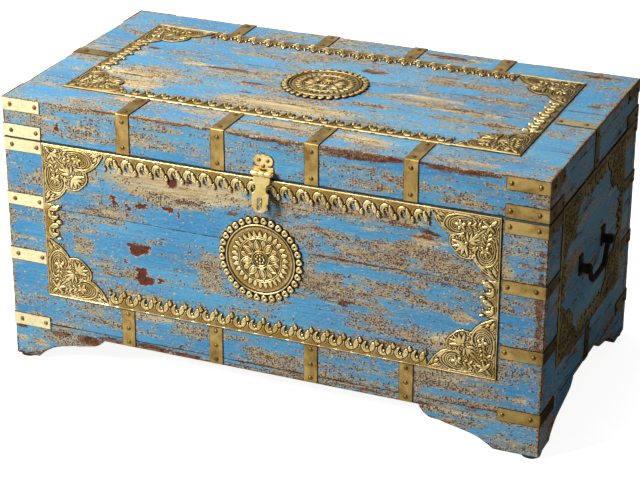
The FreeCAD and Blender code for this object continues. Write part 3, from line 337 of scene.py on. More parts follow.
class Tree:
    """Short names for the shader nodes that the finishes are made of."""

    def __init__(self, name):
        self.mat = bpy.data.materials.new(name)
        self.mat.use_nodes = True
        self.t = self.mat.node_tree
        self.t.nodes.clear()
        self.out = self.t.nodes.new("ShaderNodeOutputMaterial")
        self.bsdf = self.t.nodes.new("ShaderNodeBsdfPrincipled")
        self.t.links.new(self.bsdf.outputs[0], self.out.inputs[0])

    def put(self, socket, val):
        if isinstance(val, bpy.types.NodeSocket):
            self.t.links.new(val, socket)
        elif isinstance(val, (tuple, list)) and len(val) == 3 and socket.type == "RGBA":
            socket.default_value = (*val, 1)
        else:
            socket.default_value = val

    def set(self, name, val):
        self.put(self.bsdf.inputs[name], val)

    def attr(self, name, out="Fac"):
        n = self.t.nodes.new("ShaderNodeAttribute")
        n.attribute_name = name
        return n.outputs[out]

    def coord(self):
        return self.t.nodes.new("ShaderNodeTexCoord").outputs["Object"]

    def math(self, op, a, b=0.0, clamp=False):
        n = self.t.nodes.new("ShaderNodeMath")
        n.operation, n.use_clamp = op, clamp
        self.put(n.inputs[0], a)
        self.put(n.inputs[1], b)
        return n.outputs[0]

    def add(self, a, b):
        return self.math("ADD", a, b)

    def sub(self, a, b):
        return self.math("SUBTRACT", a, b)

    def mul(self, a, b):
        return self.math("MULTIPLY", a, b)

    def maxi(self, a, b):
        return self.math("MAXIMUM", a, b)

    def scaled(self, vec, s, offset=(0, 0, 0)):
        n = self.t.nodes.new("ShaderNodeMapping")
        self.put(n.inputs["Vector"], vec)
        n.inputs["Scale"].default_value = s
        n.inputs["Location"].default_value = offset
        return n.outputs[0]

    def noise(self, vec, s, detail=3.0, rough=0.55, offset=(0, 0, 0), warp=0.0):
        n = self.t.nodes.new("ShaderNodeTexNoise")
        self.put(n.inputs["Vector"], self.scaled(vec, s, offset))
        n.inputs["Scale"].default_value = 1.0
        n.inputs["Detail"].default_value = detail
        n.inputs["Roughness"].default_value = rough
        n.inputs["Distortion"].default_value = warp
        return n.outputs["Fac"]

    def voronoi(self, vec, s, offset=(0, 0, 0), feature="F1", out="Distance"):
        n = self.t.nodes.new("ShaderNodeTexVoronoi")
        n.feature = feature
        self.put(n.inputs["Vector"], self.scaled(vec, s, offset))
        n.inputs["Scale"].default_value = 1.0
        return n.outputs[out]

    def warped(self, vec, s, amount):
        """The same place, pushed about a little, so that round cells come out ragged."""
        n = self.t.nodes.new("ShaderNodeTexNoise")
        self.put(n.inputs["Vector"], self.scaled(vec, s))
        n.inputs["Scale"].default_value = 1.0
        n.inputs["Detail"].default_value = 2.0
        m = self.t.nodes.new("ShaderNodeVectorMath")
        m.operation = "MULTIPLY_ADD"
        self.put(m.inputs[0], n.outputs["Color"])
        m.inputs[1].default_value = (amount, amount, 0)
        self.put(m.inputs[2], vec)
        return m.outputs[0]

    def cells(self, vec, s, offset=(0, 0, 0)):
        """Distance from the middle of the nearest cell, and that cell's own random numbers."""
        n = self.t.nodes.new("ShaderNodeTexVoronoi")
        n.voronoi_dimensions = "2D"
        self.put(n.inputs["Vector"], self.scaled(vec, s, offset))
        n.inputs["Scale"].default_value = 1.0
        return n.outputs["Distance"], self.channels(n.outputs["Color"])

    def step(self, x, lo, hi):
        n = self.t.nodes.new("ShaderNodeMapRange")
        n.interpolation_type = "SMOOTHSTEP"
        self.put(n.inputs["Value"], x)
        self.put(n.inputs["From Min"], lo)
        self.put(n.inputs["From Max"], hi)
        return n.outputs["Result"]

    def range(self, x, lo, hi, to_lo, to_hi):
        n = self.t.nodes.new("ShaderNodeMapRange")
        self.put(n.inputs["Value"], x)
        for key, val in (("From Min", lo), ("From Max", hi), ("To Min", to_lo), ("To Max", to_hi)):
            n.inputs[key].default_value = val
        return n.outputs["Result"]

    def mix(self, f, a, b, kind="MIX"):
        n = self.t.nodes.new("ShaderNodeMix")
        n.data_type, n.blend_type = "RGBA", kind
        self.put(n.inputs[0], f)
        self.put(n.inputs[6], a)
        self.put(n.inputs[7], b)
        return n.outputs[2]

    def channels(self, col):
        n = self.t.nodes.new("ShaderNodeSeparateColor")
        self.put(n.inputs[0], col)
        return n.outputs

    def xyz(self, vec):
        n = self.t.nodes.new("ShaderNodeSeparateXYZ")
        self.put(n.inputs[0], vec)
        return n.outputs

    def bump(self, height, strength, distance):
        n = self.t.nodes.new("ShaderNodeBump")
        n.inputs["Strength"].default_value = strength
        n.inputs["Distance"].default_value = distance
        self.put(n.inputs["Height"], height)
        self.t.links.new(n.outputs[0], self.bsdf.inputs["Normal"])


def lin(r, g, b):
    """A display colour, 0 to 255, as scene light."""
    return tuple(((c / 255) / 12.92 if c <= 10 else ((c / 255 + 0.055) / 1.055) ** 2.4) for c in (r, g, b))


def bare_wood_colour(t, g):
    grain = t.noise(g, (9, 170, 40), 5, 0.6, (3, 1, 0), 0.4)
    pore = t.noise(g, (60, 900, 200), 2, 0.5, (7, 5, 0))
    c = t.mix(t.range(grain, 0.3, 0.7, 0, 1), lin(94, 62, 40), lin(154, 112, 76))
    return t.mix(t.math("MULTIPLY", t.step(pore, 0.56, 0.7), 0.6), c, lin(62, 40, 26)), grain, pore


def painted_wood():
    """Sky-blue paint rubbed thin to tan in bands along the grain, with cream smears, bare brown wood, dark pits and flakes gone whole."""
    t = Tree("worn_paint")
    g = t.attr("g", "Vector")
    wear = t.channels(t.attr("wear", "Color"))
    warm = t.attr("wear", "Alpha")
    paint = t.attr("paint")
    chip = t.attr("chip")
    grime_and_shade = t.attr("grime_and_shade")
    band = t.noise(g, (7, 88, 1), 5, 0.62, (1, 2, 0), 0.4)
    band2 = t.noise(g, (6, 78, 1), 5, 0.62, (41, 22, 0), 0.4)
    streak = t.noise(g, (15, 215, 1), 4, 0.6, (11, 2, 0), 0.3)
    streak2 = t.noise(g, (13, 190, 1), 4, 0.62, (21, 12, 0), 0.3)
    blotch = t.noise(g, (58, 112, 1), 5, 0.66, (5, 3, 0), 0.5)
    blotch2 = t.noise(g, (46, 84, 1), 5, 0.68, (15, 33, 0), 0.6)
    hair = t.noise(g, (290, 400, 1), 2, 0.6, (2, 8, 0), 0.8)
    hair2 = t.noise(g, (270, 380, 1), 2, 0.6, (52, 18, 0), 0.8)
    fine = t.noise(g, (620, 820, 1), 2, 0.6, (2, 8, 0))
    large = t.noise(g, (4, 9, 1), 2, 0.5, (9, 4, 0))
    brush = t.noise(g, (20, 560, 1), 3, 0.55, (4, 6, 0))

    def off(n, k):
        return t.mul(t.sub(n, 0.5), k)

    # smears of pale undercoat, bare brown wood, flakes with a clean outline
    pale = t.step(t.add(t.add(wear[0], off(band, 0.8)), t.add(off(streak, 0.9), t.add(off(blotch, 0.7), off(hair, 0.8)))), 0.42, 0.68)
    brown = t.step(t.add(t.add(wear[1], off(band2, 0.8)), t.add(off(streak2, 1.0), t.add(off(blotch2, 0.9), off(hair2, 0.8)))), 0.46, 0.56)
    torn = t.add(chip, t.add(off(blotch, 12.0), t.add(off(hair, 12.0), off(streak, 16.0))))
    flake = t.step(torn, 0.7, 0.1)
    lip = t.step(torn, 2.4, 1.2)
    # paint rubbed thin: broad soft zones that break up into specks
    zone = t.noise(g, (9, 27, 1), 3, 0.55, (61, 12, 0), 0.5)
    thin = t.step(t.add(t.add(wear[2], t.add(off(zone, 1.2), off(band2, 1.1))), t.add(off(blotch2, 0.7), off(streak, 0.6))), 0.40, 0.95)
    ragged = t.warped(g, (420, 420, 1), 0.0025)
    far, own = t.cells(ragged, (270, 350, 1), (7.3, 2.1, 0))
    speck = t.mul(t.step(t.sub(far, t.range(own[0], 0, 1, 0.26, 0.60)), 0.10, -0.10),
                  t.math("LESS_THAN", own[1], t.range(thin, 0.03, 0.85, 0.02, 0.86)))
    rub = t.step(t.add(t.mul(thin, 0.9), t.add(off(hair, 1.3), t.add(off(streak2, 0.7), off(brush, 1.1)))), 0.42, 0.92)
    # pits: small round holes with a raised pale edge, in crowds where the paint is thin
    cluster = t.noise(g, (20, 62, 1), 4, 0.62, (31, 7, 0), 0.6)
    pitted = t.mul(t.maxi(thin, t.mul(pale, 0.38)), t.step(t.add(cluster, off(blotch, 0.5)), 0.33, 0.53))
    dist, rnd = t.cells(ragged, (275, 340, 1))
    size = t.range(rnd[0], 0, 1, 0.15, 0.52)
    there = t.math("LESS_THAN", rnd[1], t.range(pitted, 0.10, 0.85, 0.004, 0.92))
    there = t.mul(there, t.range(t.step(wear[0], 0.85, 1.2), 0, 1, 1.0, 0.0))
    ring = t.mul(t.step(t.sub(dist, size), 0.36, 0.12), there)
    pit = t.mul(t.step(t.sub(dist, size), 0.07, -0.07), there)
    crack = t.step(t.sub(hair2, t.range(pitted, 0, 1, 0.88, 0.61)), -0.005, 0.03)
    pit = t.maxi(pit, t.mul(crack, 0.9))
    # colours
    blue = t.mix(t.range(large, 0.35, 0.65, 0, 1), lin(62, 143, 194), lin(92, 170, 212))
    blue = t.mix(t.math("MULTIPLY", t.step(brush, 0.52, 0.68), 0.35), blue, lin(112, 176, 212))
    blue = t.mix(t.math("MULTIPLY", t.step(brush, 0.47, 0.34), 0.35), blue, lin(40, 102, 152))
    blue = t.mix(t.math("MULTIPLY", t.step(fine, 0.53, 0.66), 0.24), blue, lin(150, 190, 208))
    blue = t.mix(t.math("MULTIPLY", t.step(hair, 0.51, 0.63), 0.26), blue, lin(160, 172, 172))
    blue = t.mix(t.math("MULTIPLY", t.step(hair2, 0.47, 0.36), 0.28), blue, lin(44, 108, 156))
    blue = t.mix(t.math("MULTIPLY", thin, 0.45), blue, lin(146, 154, 144))
    tan = t.mix(t.step(t.add(streak2, t.mul(t.sub(warm, 0.5), 0.30)), 0.42, 0.60), lin(168, 154, 116), lin(184, 142, 84))
    tan = t.mix(t.math("MULTIPLY", t.step(hair2, 0.49, 0.60), 0.70), tan, lin(216, 199, 152))
    tan = t.mix(t.math("MULTIPLY", t.step(fine, 0.52, 0.64), 0.40), tan, lin(122, 106, 82))
    tan = t.mix(t.math("MULTIPLY", t.step(t.add(blotch, t.mul(t.sub(warm, 0.5), 0.12)), 0.54, 0.66), 0.75), tan, lin(128, 84, 52))
    under = t.mix(t.step(band, 0.44, 0.60), lin(220, 203, 156), lin(182, 171, 138))
    under = t.mix(t.math("MULTIPLY", t.step(streak2, 0.46, 0.60), 0.8), under, lin(184, 144, 94))
    under = t.mix(t.math("MULTIPLY", t.step(fine, 0.5, 0.7), 0.5), under, lin(228, 213, 178))
    wood = t.mix(t.step(blotch, 0.38, 0.62), lin(82, 46, 31), lin(136, 84, 50))
    wood = t.mix(t.math("MULTIPLY", t.step(fine, 0.54, 0.7), 0.6), wood, lin(54, 33, 25))
    hole = t.mix(rnd[2], lin(40, 30, 25), lin(104, 60, 40))
    dot = t.mix(t.step(own[2], 0.30, 0.75), tan, lin(208, 190, 140))
    c = t.mix(t.math("MULTIPLY", rub, 0.80), blue, tan)
    c = t.mix(t.math("MULTIPLY", speck, 0.84), c, dot)
    c = t.mix(pale, c, under)
    c = t.mix(brown, c, wood)
    c = t.mix(t.math("MULTIPLY", ring, 0.42), c, lin(224, 210, 184))
    c = t.mix(t.math("MULTIPLY", lip, 0.6), c, lin(214, 204, 184))
    c = t.mix(flake, c, t.mix(t.step(fine, 0.4, 0.65), lin(90, 44, 31), lin(122, 66, 44)))
    c = t.mix(t.math("MULTIPLY", pit, 0.92), c, hole)
    # dirt and painted shade in the joints and along the brass
    dirt_and_shade = t.step(t.add(grime_and_shade, t.add(off(blotch, 1.0), off(hair, 0.9))), 0.42, 0.86)
    c = t.mix(t.math("MULTIPLY", dirt_and_shade, 0.86), c, lin(46, 34, 24))
    raw, grain, pore = bare_wood_colour(t, g)
    c = t.mix(paint, raw, c)
    t.set("Base Color", c)
    t.set("Specular IOR Level", 0.22)
    gone = t.maxi(t.mul(pale, 0.6), t.maxi(brown, flake))
    t.set("Roughness", t.range(t.add(gone, t.add(off(fine, 0.4), t.mul(thin, 0.3))), 0, 1, 0.46, 0.8))
    h = t.sub(off(fine, 0.4), t.mul(pale, 0.25))
    h = t.sub(h, t.mul(brown, 0.55))
    h = t.sub(h, t.mul(flake, 0.9))
    h = t.sub(h, t.mul(rub, 0.25))
    h = t.add(h, t.mul(speck, 0.30))
    h = t.sub(h, t.mul(pit, 1.2))
    h = t.add(h, t.mul(ring, 0.35))
    h = t.add(h, off(brush, 0.5))
    h = t.add(t.mul(h, paint), t.mul(t.sub(grain, 0.5), t.math("SUBTRACT", 1.0, paint)))
    t.bump(h, 0.8, 0.0010)
    return t.mat


def bare_wood():
    t = Tree("bare_wood")
    g = t.coord()
    c, grain, pore = bare_wood_colour(t, g)
    t.set("Base Color", c)
    t.set("Roughness", t.range(grain, 0.3, 0.7, 0.62, 0.8))
    t.bump(t.sub(t.mul(grain, 0.6), t.mul(pore, 0.5)), 0.5, 0.0008)
    return t.mat


def brass(name, light, dark, rough, own_coords=True, grime_and_shade=True, painted_reflection=False):
    """Aged sheet brass: pale where rubbed, olive brown where tarnished, dark round the nails and edges with dirt and
    painted shade; some plates carry a painted reflection.
    """
    t = Tree(name)
    g = t.attr("g", "Vector") if own_coords else t.coord()
    cloud = t.noise(g, (30, 38, 38), 4, 0.6, (2, 5, 1), 0.4)
    spots = t.noise(g, (170, 190, 190), 4, 0.65, (8, 3, 2))
    brush = t.noise(g, (46, 900, 900), 3, 0.55, (4, 4, 4))
    c = t.mix(t.range(cloud, 0.36, 0.66, 0, 1), light, dark)
    c = t.mix(t.math("MULTIPLY", t.step(spots, 0.56, 0.72), 0.55), c, lin(118, 84, 38))
    c = t.mix(t.math("MULTIPLY", t.step(brush, 0.54, 0.7), 0.25), c, light)
    r = t.add(t.range(cloud, 0.3, 0.7, rough - 0.06, rough + 0.08), t.mul(t.sub(spots, 0.5), 0.25))
    metal = 1.0
    if painted_reflection:
        # the plates at the front's left end are painted pale as a reflection of the light, and so is the one on top of
        # the lid's right end
        px, py, pz = t.xyz(t.coord())
        pale = t.mul(t.step(px, -0.36, -0.39), t.step(py, -0.238, -0.242))
        pale = t.maxi(pale, t.mul(t.mul(t.step(px, 0.34, 0.36), t.step(pz, 0.4606, 0.4612)), 0.75))
        c = t.mix(t.mul(pale, t.range(spots, 0.3, 0.7, 0.8, 0.55)), c, lin(248, 238, 194))
    if grime_and_shade:
        # dirt and painted shade round the nails and along the edges
        dirt_and_shade = t.attr("grime_and_shade")
        dirt_and_shade = t.step(t.add(dirt_and_shade, t.mul(t.sub(spots, 0.5), 0.7)), 0.35, 0.85)
        c = t.mix(t.math("MULTIPLY", dirt_and_shade, 0.85), c, lin(70, 50, 26))
        r = t.add(r, t.mul(dirt_and_shade, 0.25))
    t.set("Base Color", c)
    t.set("Metallic", metal)
    t.set("Roughness", r)
    t.bump(t.add(t.mul(t.sub(spots, 0.5), 0.8), t.mul(t.sub(brush, 0.5), 0.35)), 0.35, 0.0005)
    return t.mat


def embossed():
    """Embossed sheet brass: pale on the ridges, rubbed brass with a painted highlight; olive on the slopes; dark in the
    hollows, patina with painted shade.
    """
    t = Tree("embossed_brass")
    g = t.attr("g", "Vector")
    cav = t.attr("cav")
    cloud = t.noise(g, (20, 20, 20), 4, 0.6, (1, 5, 1), 0.4)
    spots = t.noise(g, (300, 300, 300), 4, 0.65, (8, 3, 2))
    x = t.add(cav, t.mul(t.sub(spots, 0.5), 0.22))
    # pale ridge colour: rubbed brass and painted highlight
    lit = t.mix(t.range(cloud, 0.36, 0.64, 0, 1), lin(230, 209, 154), lin(186, 159, 96))
    c = t.mix(t.step(x, 0.52, 0.26), lin(127, 98, 47), lit)
    # dark in the hollows and at the outlines: patina and painted shade
    dirt_and_shade = t.step(x, 0.50, 0.72)
    c = t.mix(t.math("MULTIPLY", dirt_and_shade, 0.95), c, lin(38, 28, 15))
    t.set("Base Color", c)
    t.set("Metallic", t.range(dirt_and_shade, 0, 1, 1.0, 0.45))
    t.set("Roughness", t.add(t.range(cloud, 0.3, 0.7, 0.32, 0.44), t.mul(dirt_and_shade, 0.3)))
    t.bump(t.sub(spots, 0.5), 0.3, 0.0006)
    return t.mat


def iron():
    t = Tree("dark_iron")
    g = t.coord()
    cloud = t.noise(g, (90, 90, 90), 4, 0.6)
    spots = t.noise(g, (420, 420, 420), 4, 0.65, (3, 1, 7))
    c = t.mix(t.range(cloud, 0.35, 0.65, 0, 1), lin(44, 34, 28), lin(78, 60, 46))
    c = t.mix(t.math("MULTIPLY", t.step(spots, 0.56, 0.7), 0.6), c, lin(104, 74, 48))
    t.set("Base Color", c)
    t.set("Metallic", 0.75)
    t.set("Roughness", t.range(spots, 0.3, 0.7, 0.42, 0.66))
    t.bump(t.add(t.mul(cloud, 0.8), t.mul(spots, 0.5)), 0.5, 0.0007)
    return t.mat


def glide():
    t = Tree("black_glide")
    g = t.coord()
    n = t.noise(g, (300, 300, 300), 3, 0.6)
    t.set("Base Color", t.mix(n, lin(16, 16, 17), lin(40, 39, 38)))
    t.set("Roughness", t.range(n, 0.3, 0.7, 0.5, 0.7))
    t.bump(n, 0.3, 0.0005)
    return t.mat


PAINT = painted_wood()
RAW = bare_wood()
BRASS = brass("strap_brass", lin(180, 154, 94), lin(130, 102, 52), 0.40, painted_reflection=True)
HARD = brass("hardware_brass", lin(236, 214, 150), lin(190, 156, 88), 0.34, own_coords=False, grime_and_shade=False)
HASP = brass("hasp_brass", lin(226, 206, 144), lin(190, 162, 98), 0.44, own_coords=False, grime_and_shade=False)
NAIL = brass("nail_brass", lin(142, 114, 64), lin(92, 70, 38), 0.48, own_coords=False, grime_and_shade=False)
EMBOSS = embossed()
IRON = iron()
GLIDE = glide()

# ------------------------------------------------------------------ wear of the paint
# Places on the front are millimetres from its left edge and from the top of the lid, on the lid from the left and the back.

FRONT_PALE = [
    (312, 111, 138, 24, 1.2), (150, 118, 45, 20, .5), (390, 120, 60, 16, .55), (150, 55, 60, 12, .42), (400, 50, 20, 12, .35),
    (290, 14, 80, 8, .42), (620, 55, 90, 10, .42), (780, 55, 80, 12, .46), (725, 128, 45, 14, .75), (690, 100, 55, 12, .6), (520, 112, 45, 22, .5),
    (640, 122, 80, 12, .45), (140, 180, 55, 10, .4), (140, 248, 45, 25, .42), (150, 292, 45, 9, .45), (600, 182, 120, 16, .45),
    (760, 185, 80, 16, .42), (660, 228, 110, 16, .46), (590, 256, 60, 18, .46), (785, 245, 28, 16, .62), (755, 288, 45, 20, .72),
    (370, 250, 45, 22, .42), (320, 185, 60, 8, .25), (610, 310, 110, 14, .34), (255, 312, 75, 9, .7), (262, 345, 70, 9, .75),
    (755, 349, 50, 11, .78), (130, 345, 50, 8, .45), (420, 350, 50, 10, .25), (850, 155, 18, 18, .7), (860, 118, 22, 18, .5),
    (885, 362, 28, 20, .52), (870, 220, 25, 40, .3), (870, 305, 25, 18, .3), (35, 242, 40, 9, .4), (12, 118, 10, 20, .45),
    (35, 318, 35, 16, .3), (30, 440, 30, 18, .4), (50, 430, 26, 14, .65), (15, 430, 16, 20, .6), (720, 408, 35, 10, .6), (120, 380, 60, 10, .4),
    (860, 440, 40, 12, .3), (440, 210, 90, 60, .22), (60, 38, 60, 16, .5), (140, 34, 50, 12, .48), (100, 388, 60, 10, .5),
    (60, 20, 40, 8, .45), (340, 52, 50, 10, .42), (75, 30, 60, 18, .55),
    (770, 405, 75, 5, .8), (770, 424, 40, 9, .58), (850, 437, 60, 6, .5), (890, 420, 30, 8, .48)]
FRONT_BROWN = [
    (300, 2, 80, 6, .8), (460, 3, 75, 8, .95), (618, 4, 78, 12, 1.1), (768, 3, 88, 10, 1.05), (520, 120, 45, 16, .45),
    (725, 120, 40, 12, .58), (640, 125, 70, 7, .4), (690, 108, 45, 7, .62), (600, 183, 110, 5, .62), (745, 194, 85, 5, .56), (660, 232, 90, 10, .4),
    (590, 257, 30, 8, .62), (560, 250, 50, 20, .35), (145, 180, 60, 6, .35), (610, 312, 110, 9, .35), (150, 369, 45, 6, .52),
    (90, 408, 22, 9, .95), (140, 410, 26, 12, 1.0), (182, 401, 26, 8, 1.0), (255, 399, 42, 7, .95), (325, 400, 40, 5, .6), (12, 404, 18, 5, .8),
    (60, 452, 40, 6, .6), (430, 398, 100, 4, .55), (620, 398, 90, 4, .6),
    (720, 402, 45, 6, .62), (705, 410, 20, 6, .7), (800, 396, 90, 4, .5), (880, 135, 18, 14, .5), (868, 175, 14, 8, .5), (905, 200, 9, 130, .8), (900, 160, 12, 60, .5), (912, 380, 6, 60, .5),
    (2, 380, 5, 60, .4), (3, 440, 6, 30, .7), (250, 300, 80, 6, .35), (700, 300, 60, 8, .35), (335, 133, 50, 6, .72), (400, 138, 30, 5, .6), (270, 127, 40, 5, .5), (160, 172, 40, 4, .5)]
FRONT_PITS = [
    (682, 104, 60, 16, 1.0), (610, 163, 52, 16, .8), (755, 166, 55, 24, .95), (671, 222, 110, 26, .86), (643, 276, 60, 24, .82),
    (702, 290, 65, 14, .9), (878, 128, 34, 42, .74), (883, 228, 34, 45, .62), (654, 54, 32, 14, .85), (776, 55, 75, 15, .92), (830, 30, 60, 16, .78), (750, 25, 60, 10, .7),
    (139, 238, 30, 30, 1.05), (187, 175, 50, 15, 1.05), (303, 136, 85, 14, 1.1), (239, 226, 46, 24, .82), (233, 272, 38, 24, .84),
    (210, 306, 62, 16, .8), (363, 243, 36, 52, .92), (537, 193, 36, 55, .86), (144, 40, 66, 22, .76), (298, 45, 66, 18, .66),
    (459, 40, 50, 20, .74), (618, 52, 60, 16, .72), (480, 240, 60, 50, .7), (520, 112, 60, 18, .85), (640, 118, 90, 10, .7),
    (755, 300, 70, 25, .85), (700, 350, 140, 12, .75), (260, 345, 80, 10, .75), (130, 350, 50, 12, .7), (150, 375, 90, 12, .62),
    (430, 385, 120, 10, .6), (735, 405, 50, 14, .95), (795, 433, 30, 10, .8), (905, 440, 18, 30, .8), (890, 458, 40, 8, .75), (770, 396, 90, 6, .8), (40, 430, 50, 25, .85), (880, 330, 36, 40, .6),
    (890, 400, 36, 40, .66), (30, 250, 30, 12, .55), (90, 415, 80, 25, .95), (60, 40, 60, 30, .72),
    (250, 36, 260, 24, .65), (690, 36, 200, 22, .65), (830, 440, 70, 10, .76), (862, 420, 60, 8, .74), (790, 424, 45, 14, .86), (800, 403, 90, 6, .9), (880, 445, 40, 14, .8)]
FRONT_CLEAN = [
    (640, 130, 90, 9, .3), (538, 276, 34, 24, .35), (735, 253, 55, 12, .32), (330, 190, 90, 22, .25), (330, 290, 60, 20, .2), (110, 150, 40, 14, .2), (850, 425, 40, 12, .12), (38, 215, 32, 32, .4), (872, 290, 30, 110, .14)]
TOP_PALE = [
    (150, 305, 85, 26, 1.15), (175, 350, 55, 30, 1.05), (90, 200, 60, 30, .6), (430, 352, 140, 32, 1.3), (200, 420, 60, 16, .85), (330, 425, 70, 22, .8),
    (470, 432, 80, 22, .95), (600, 438, 70, 24, .95), (785, 460, 80, 18, .7), (225, 222, 60, 14, .85), (631, 229, 85, 14, 1.0),
    (696, 262, 120, 16, 1.0), (770, 300, 60, 12, .9), (558, 293, 60, 12, .8), (605, 28, 65, 14, .95), (850, 25, 60, 14, .8),
    (494, 342, 45, 20, 1.0), (506, 142, 30, 14, .7), (684, 145, 65, 10, .55), (735, 195, 75, 12, .6), (330, 272, 50, 12, .65),
    (230, 130, 50, 24, .5), (390, 110, 80, 14, .5), (886, 157, 20, 14, .6), (45, 110, 25, 15, .6), (30, 205, 40, 14, .6),
    (300, 245, 130, 34, .56), (420, 400, 150, 20, .7), (110, 445, 50, 14, .6), (40, 405, 30, 15, .6), (45, 320, 25, 18, .65), (870, 305, 30, 10, .5), (300, 40, 60, 14, .5),
    (130, 40, 60, 18, .4)]
TOP_BROWN = [
    (506, 145, 28, 10, 1.0), (605, 28, 60, 9, .8), (275, 225, 48, 6, .9), (150, 312, 60, 7, .75), (175, 350, 30, 22, .45),
    (700, 258, 90, 7, .62), (770, 300, 55, 8, .65), (624, 123, 45, 5, .55), (558, 293, 50, 6, .6), (115, 176, 18, 7, .8),
    (345, 272, 30, 7, .65), (345, 316, 28, 6, .6), (850, 22, 55, 11, .75), (440, 338, 60, 7, .5), (450, 436, 60, 8, .55),
    (275, 150, 25, 12, .4), (886, 160, 16, 10, .7), (735, 200, 60, 7, .5), (50, 108, 20, 10, .5), (45, 203, 35, 8, .5),
    (600, 485, 250, 4, .6), (300, 484, 100, 4, .4)]
TOP_PITS = [
    (168, 283, 90, 50, .9), (394, 351, 120, 45, .98), (393, 117, 110, 30, .85), (684, 145, 75, 14, .95), (735, 195, 85, 16, 1.0),
    (624, 123, 50, 8, .95), (558, 293, 70, 14, 1.0), (695, 303, 85, 10, 1.0), (700, 262, 120, 22, .85), (770, 300, 70, 16, .95),
    (271, 400, 80, 30, .8), (450, 431, 80, 25, .85), (605, 28, 80, 16, .95), (850, 25, 70, 16, .9), (886, 157, 26, 18, .95),
    (867, 305, 40, 12, .9), (600, 438, 80, 26, .8), (785, 460, 90, 20, .75), (80, 320, 50, 30, .8), (275, 145, 60, 24, .85),
    (45, 110, 30, 20, .8), (40, 205, 50, 16, .8), (300, 40, 70, 16, .85), (160, 180, 60, 14, .8), (506, 142, 40, 18, .85),
    (330, 190, 60, 10, .75), (230, 225, 70, 16, .75), (470, 60, 40, 10, .8), (760, 60, 60, 10, .8),
    (310, 240, 180, 75, .74), (600, 385, 160, 45, .74), (450, 300, 200, 60, .72)]
TOP_CLEAN = [
    (300, 180, 60, 18, .3), (620, 180, 80, 12, .35), (850, 130, 40, 60, .3), (520, 330, 50, 12, .2), (850, 350, 40, 50, .3),
    (120, 140, 40, 40, .25), (300, 330, 50, 14, .2), (520, 30, 60, 16, .25), (740, 35, 60, 14, .25)]
# flakes of paint that came away whole, outlines on the front
CHIPS = [
    [(194, 142), (203, 145), (207, 158), (200, 160), (197, 150)], [(221, 157), (231, 160), (226, 164)],
    [(240, 152), (259, 149), (257, 155), (242, 159)], [(285, 150), (303, 149), (304, 156), (290, 155)],
    [(314, 155), (319, 158), (314, 161)], [(221, 222), (240, 220), (263, 222), (258, 232), (240, 242), (228, 240), (226, 230)],
    [(214, 249), (225, 252), (216, 257)], [(232, 262), (255, 260), (253, 272), (268, 278), (262, 288), (243, 292), (238, 280), (240, 270)],
    [(275, 273), (286, 276), (278, 283)], [(295, 100), (312, 97), (310, 112), (300, 113)], [(97, 42), (104, 38), (108, 50), (100, 51)],
    [(236, 128), (243, 131), (238, 141)], [(330, 96), (338, 99), (333, 104)]]


def edge_gap(*gaps):
    out = gaps[0]
    for x in gaps[1:]:
        out = np.minimum(out, x)
    return out


